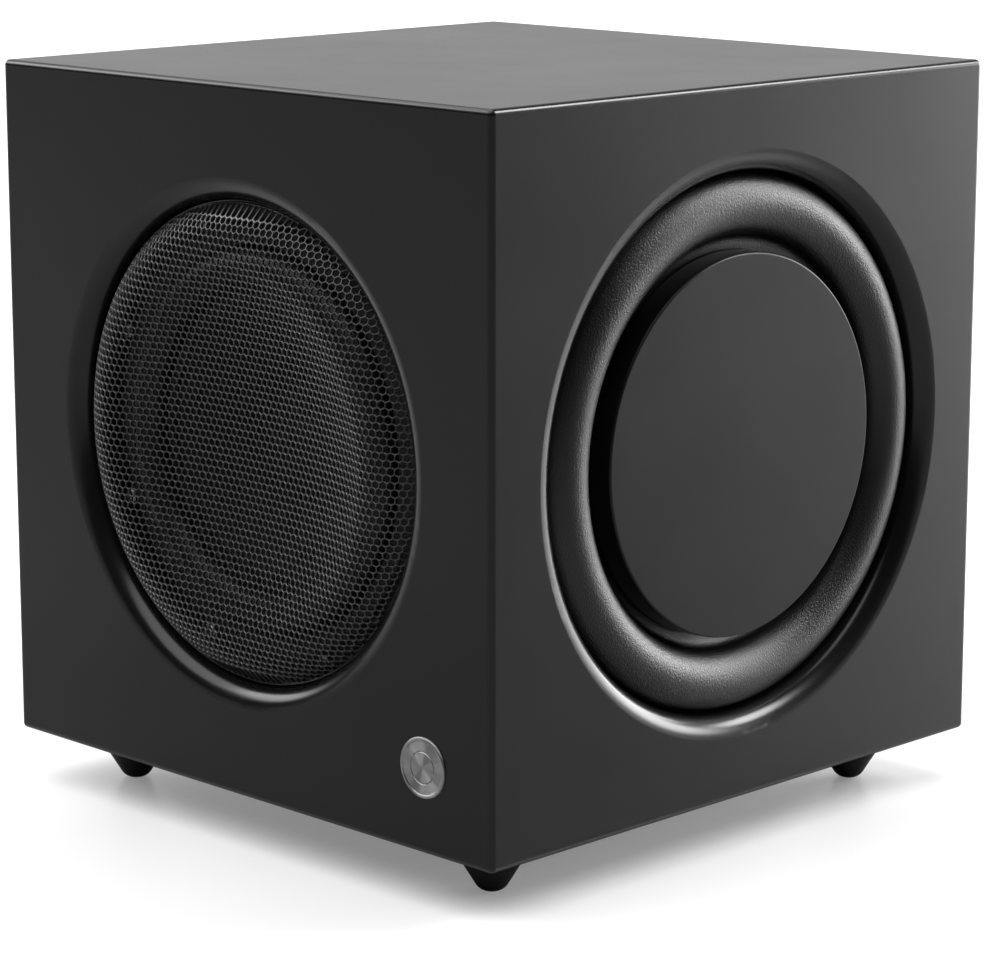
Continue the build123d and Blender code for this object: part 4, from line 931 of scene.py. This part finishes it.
def recalculate(piece):
    # turns every face of the slabs outwards
    work = bmesh.new()
    work.from_mesh(piece.data)
    bmesh.ops.recalc_face_normals(work, faces=work.faces)
    work.to_mesh(piece.data)
    work.free()


def makeScale(name, place):
    # marks at equal angles over the knob's sweep, pointing at its axis, each fifth one longer
    turn = np.radians(np.linspace(-printing["sweep"] / 2, printing["sweep"] / 2, printing["count"]))
    longMark = np.arange(printing["count"]) % 5 == 0
    outer = printing["outer"] + printing["longer"] * longMark
    middle = (printing["inner"] + outer) / 2
    points, faces = barSet(place[0] - np.sin(turn) * middle, place[1] + np.cos(turn) * middle,
                           np.full(len(turn), printing["width"]), outer - printing["inner"], turn,
                           printing["floor"] - printing["sunk"], printing["floor"] + printing["sheet"])
    piece = makeMesh(name + "_scale", points, [faces], smooth=False)
    recalculate(piece)
    piece.data.materials.append(finish["print_white"])
    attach(piece, "cabinet")


def makePointer(name, place, body):
    # a printed line from near the knob's middle to its rim
    points, faces = barSet(np.array([place[0]]), np.array([place[1] + pointer["up"]]),
                           np.array([pointer["width"]]), np.array([pointer["length"]]), np.array([0.0]),
                           pointer["low"], pointer["high"])
    piece = makeMesh(name + "_pointer", points, [faces], smooth=False)
    recalculate(piece)
    piece.data.materials.append(finish["print_white"])
    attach(piece, body)


for name, (place, body) in knobs.items():
    makeScale(name, place)
    makePointer(name, place, body)
print("scales and pointers printed")


# damping wadding
wadding = {"fill": 0.45, "steps": 96, "square": 6, "crown": 0.22, "slack": 0.975, "lump": 0.006,
           "lumpTurns": 5.0}
# direction and phase of each wave that lumps the pad
lumps = (((0.5, 2.1, 1.3), 0.4), ((0.8, -1.7, 2.4), 1.9), ((0.3, 3.1, -2.2), 3.0), ((0.9, 4.2, 3.6), 5.1))


def makeWadding():
    # a ball squared off until |x|^n + |y|^n + |z|^n = 1, thinner towards its edges, then lumped:
    # scale = slack + lump * (sum of four sine waves across the form)
    low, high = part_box("damping_wadding")
    middle, reach = np.array((low + high) / 2) / mm, np.array((high - low) / 2) / mm
    steps = wadding["steps"]
    latitude = np.linspace(-math.pi / 2, math.pi / 2, steps // 2 + 1)[1:-1]
    longitude = np.linspace(0, fullTurn, steps, endpoint=False)
    lat, lon = np.meshgrid(latitude, longitude, indexing="ij")
    ball = np.stack([np.sin(lat), np.cos(lat) * np.cos(lon), np.cos(lat) * np.sin(lon)], -1).reshape(-1, 3)
    ball = np.concatenate([ball, [[-1, 0, 0], [1, 0, 0]]])
    size = (np.abs(ball) ** wadding["square"]).sum(1) ** (-1 / wadding["square"])
    form = ball * size[:, None]
    form[:, 0] *= 1 - wadding["crown"] * (form[:, 1] ** 2 + form[:, 2] ** 2) / 2
    waves = sum(np.sin(form @ np.array(direction) * wadding["lumpTurns"] + phase)
                for direction, phase in lumps)
    form *= (wadding["slack"] + wadding["lump"] * waves)[:, None]
    points = middle + form * reach
    rows = len(latitude)
    piece = makeMesh("wadding_mat", points, [gridFaces(rows, steps), *endFans(rows, steps)])
    facesOutwards(piece)
    finishPiece(piece, "wadding_fibre", "damping_wadding")
    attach(piece, "cabinet")


makeWadding()
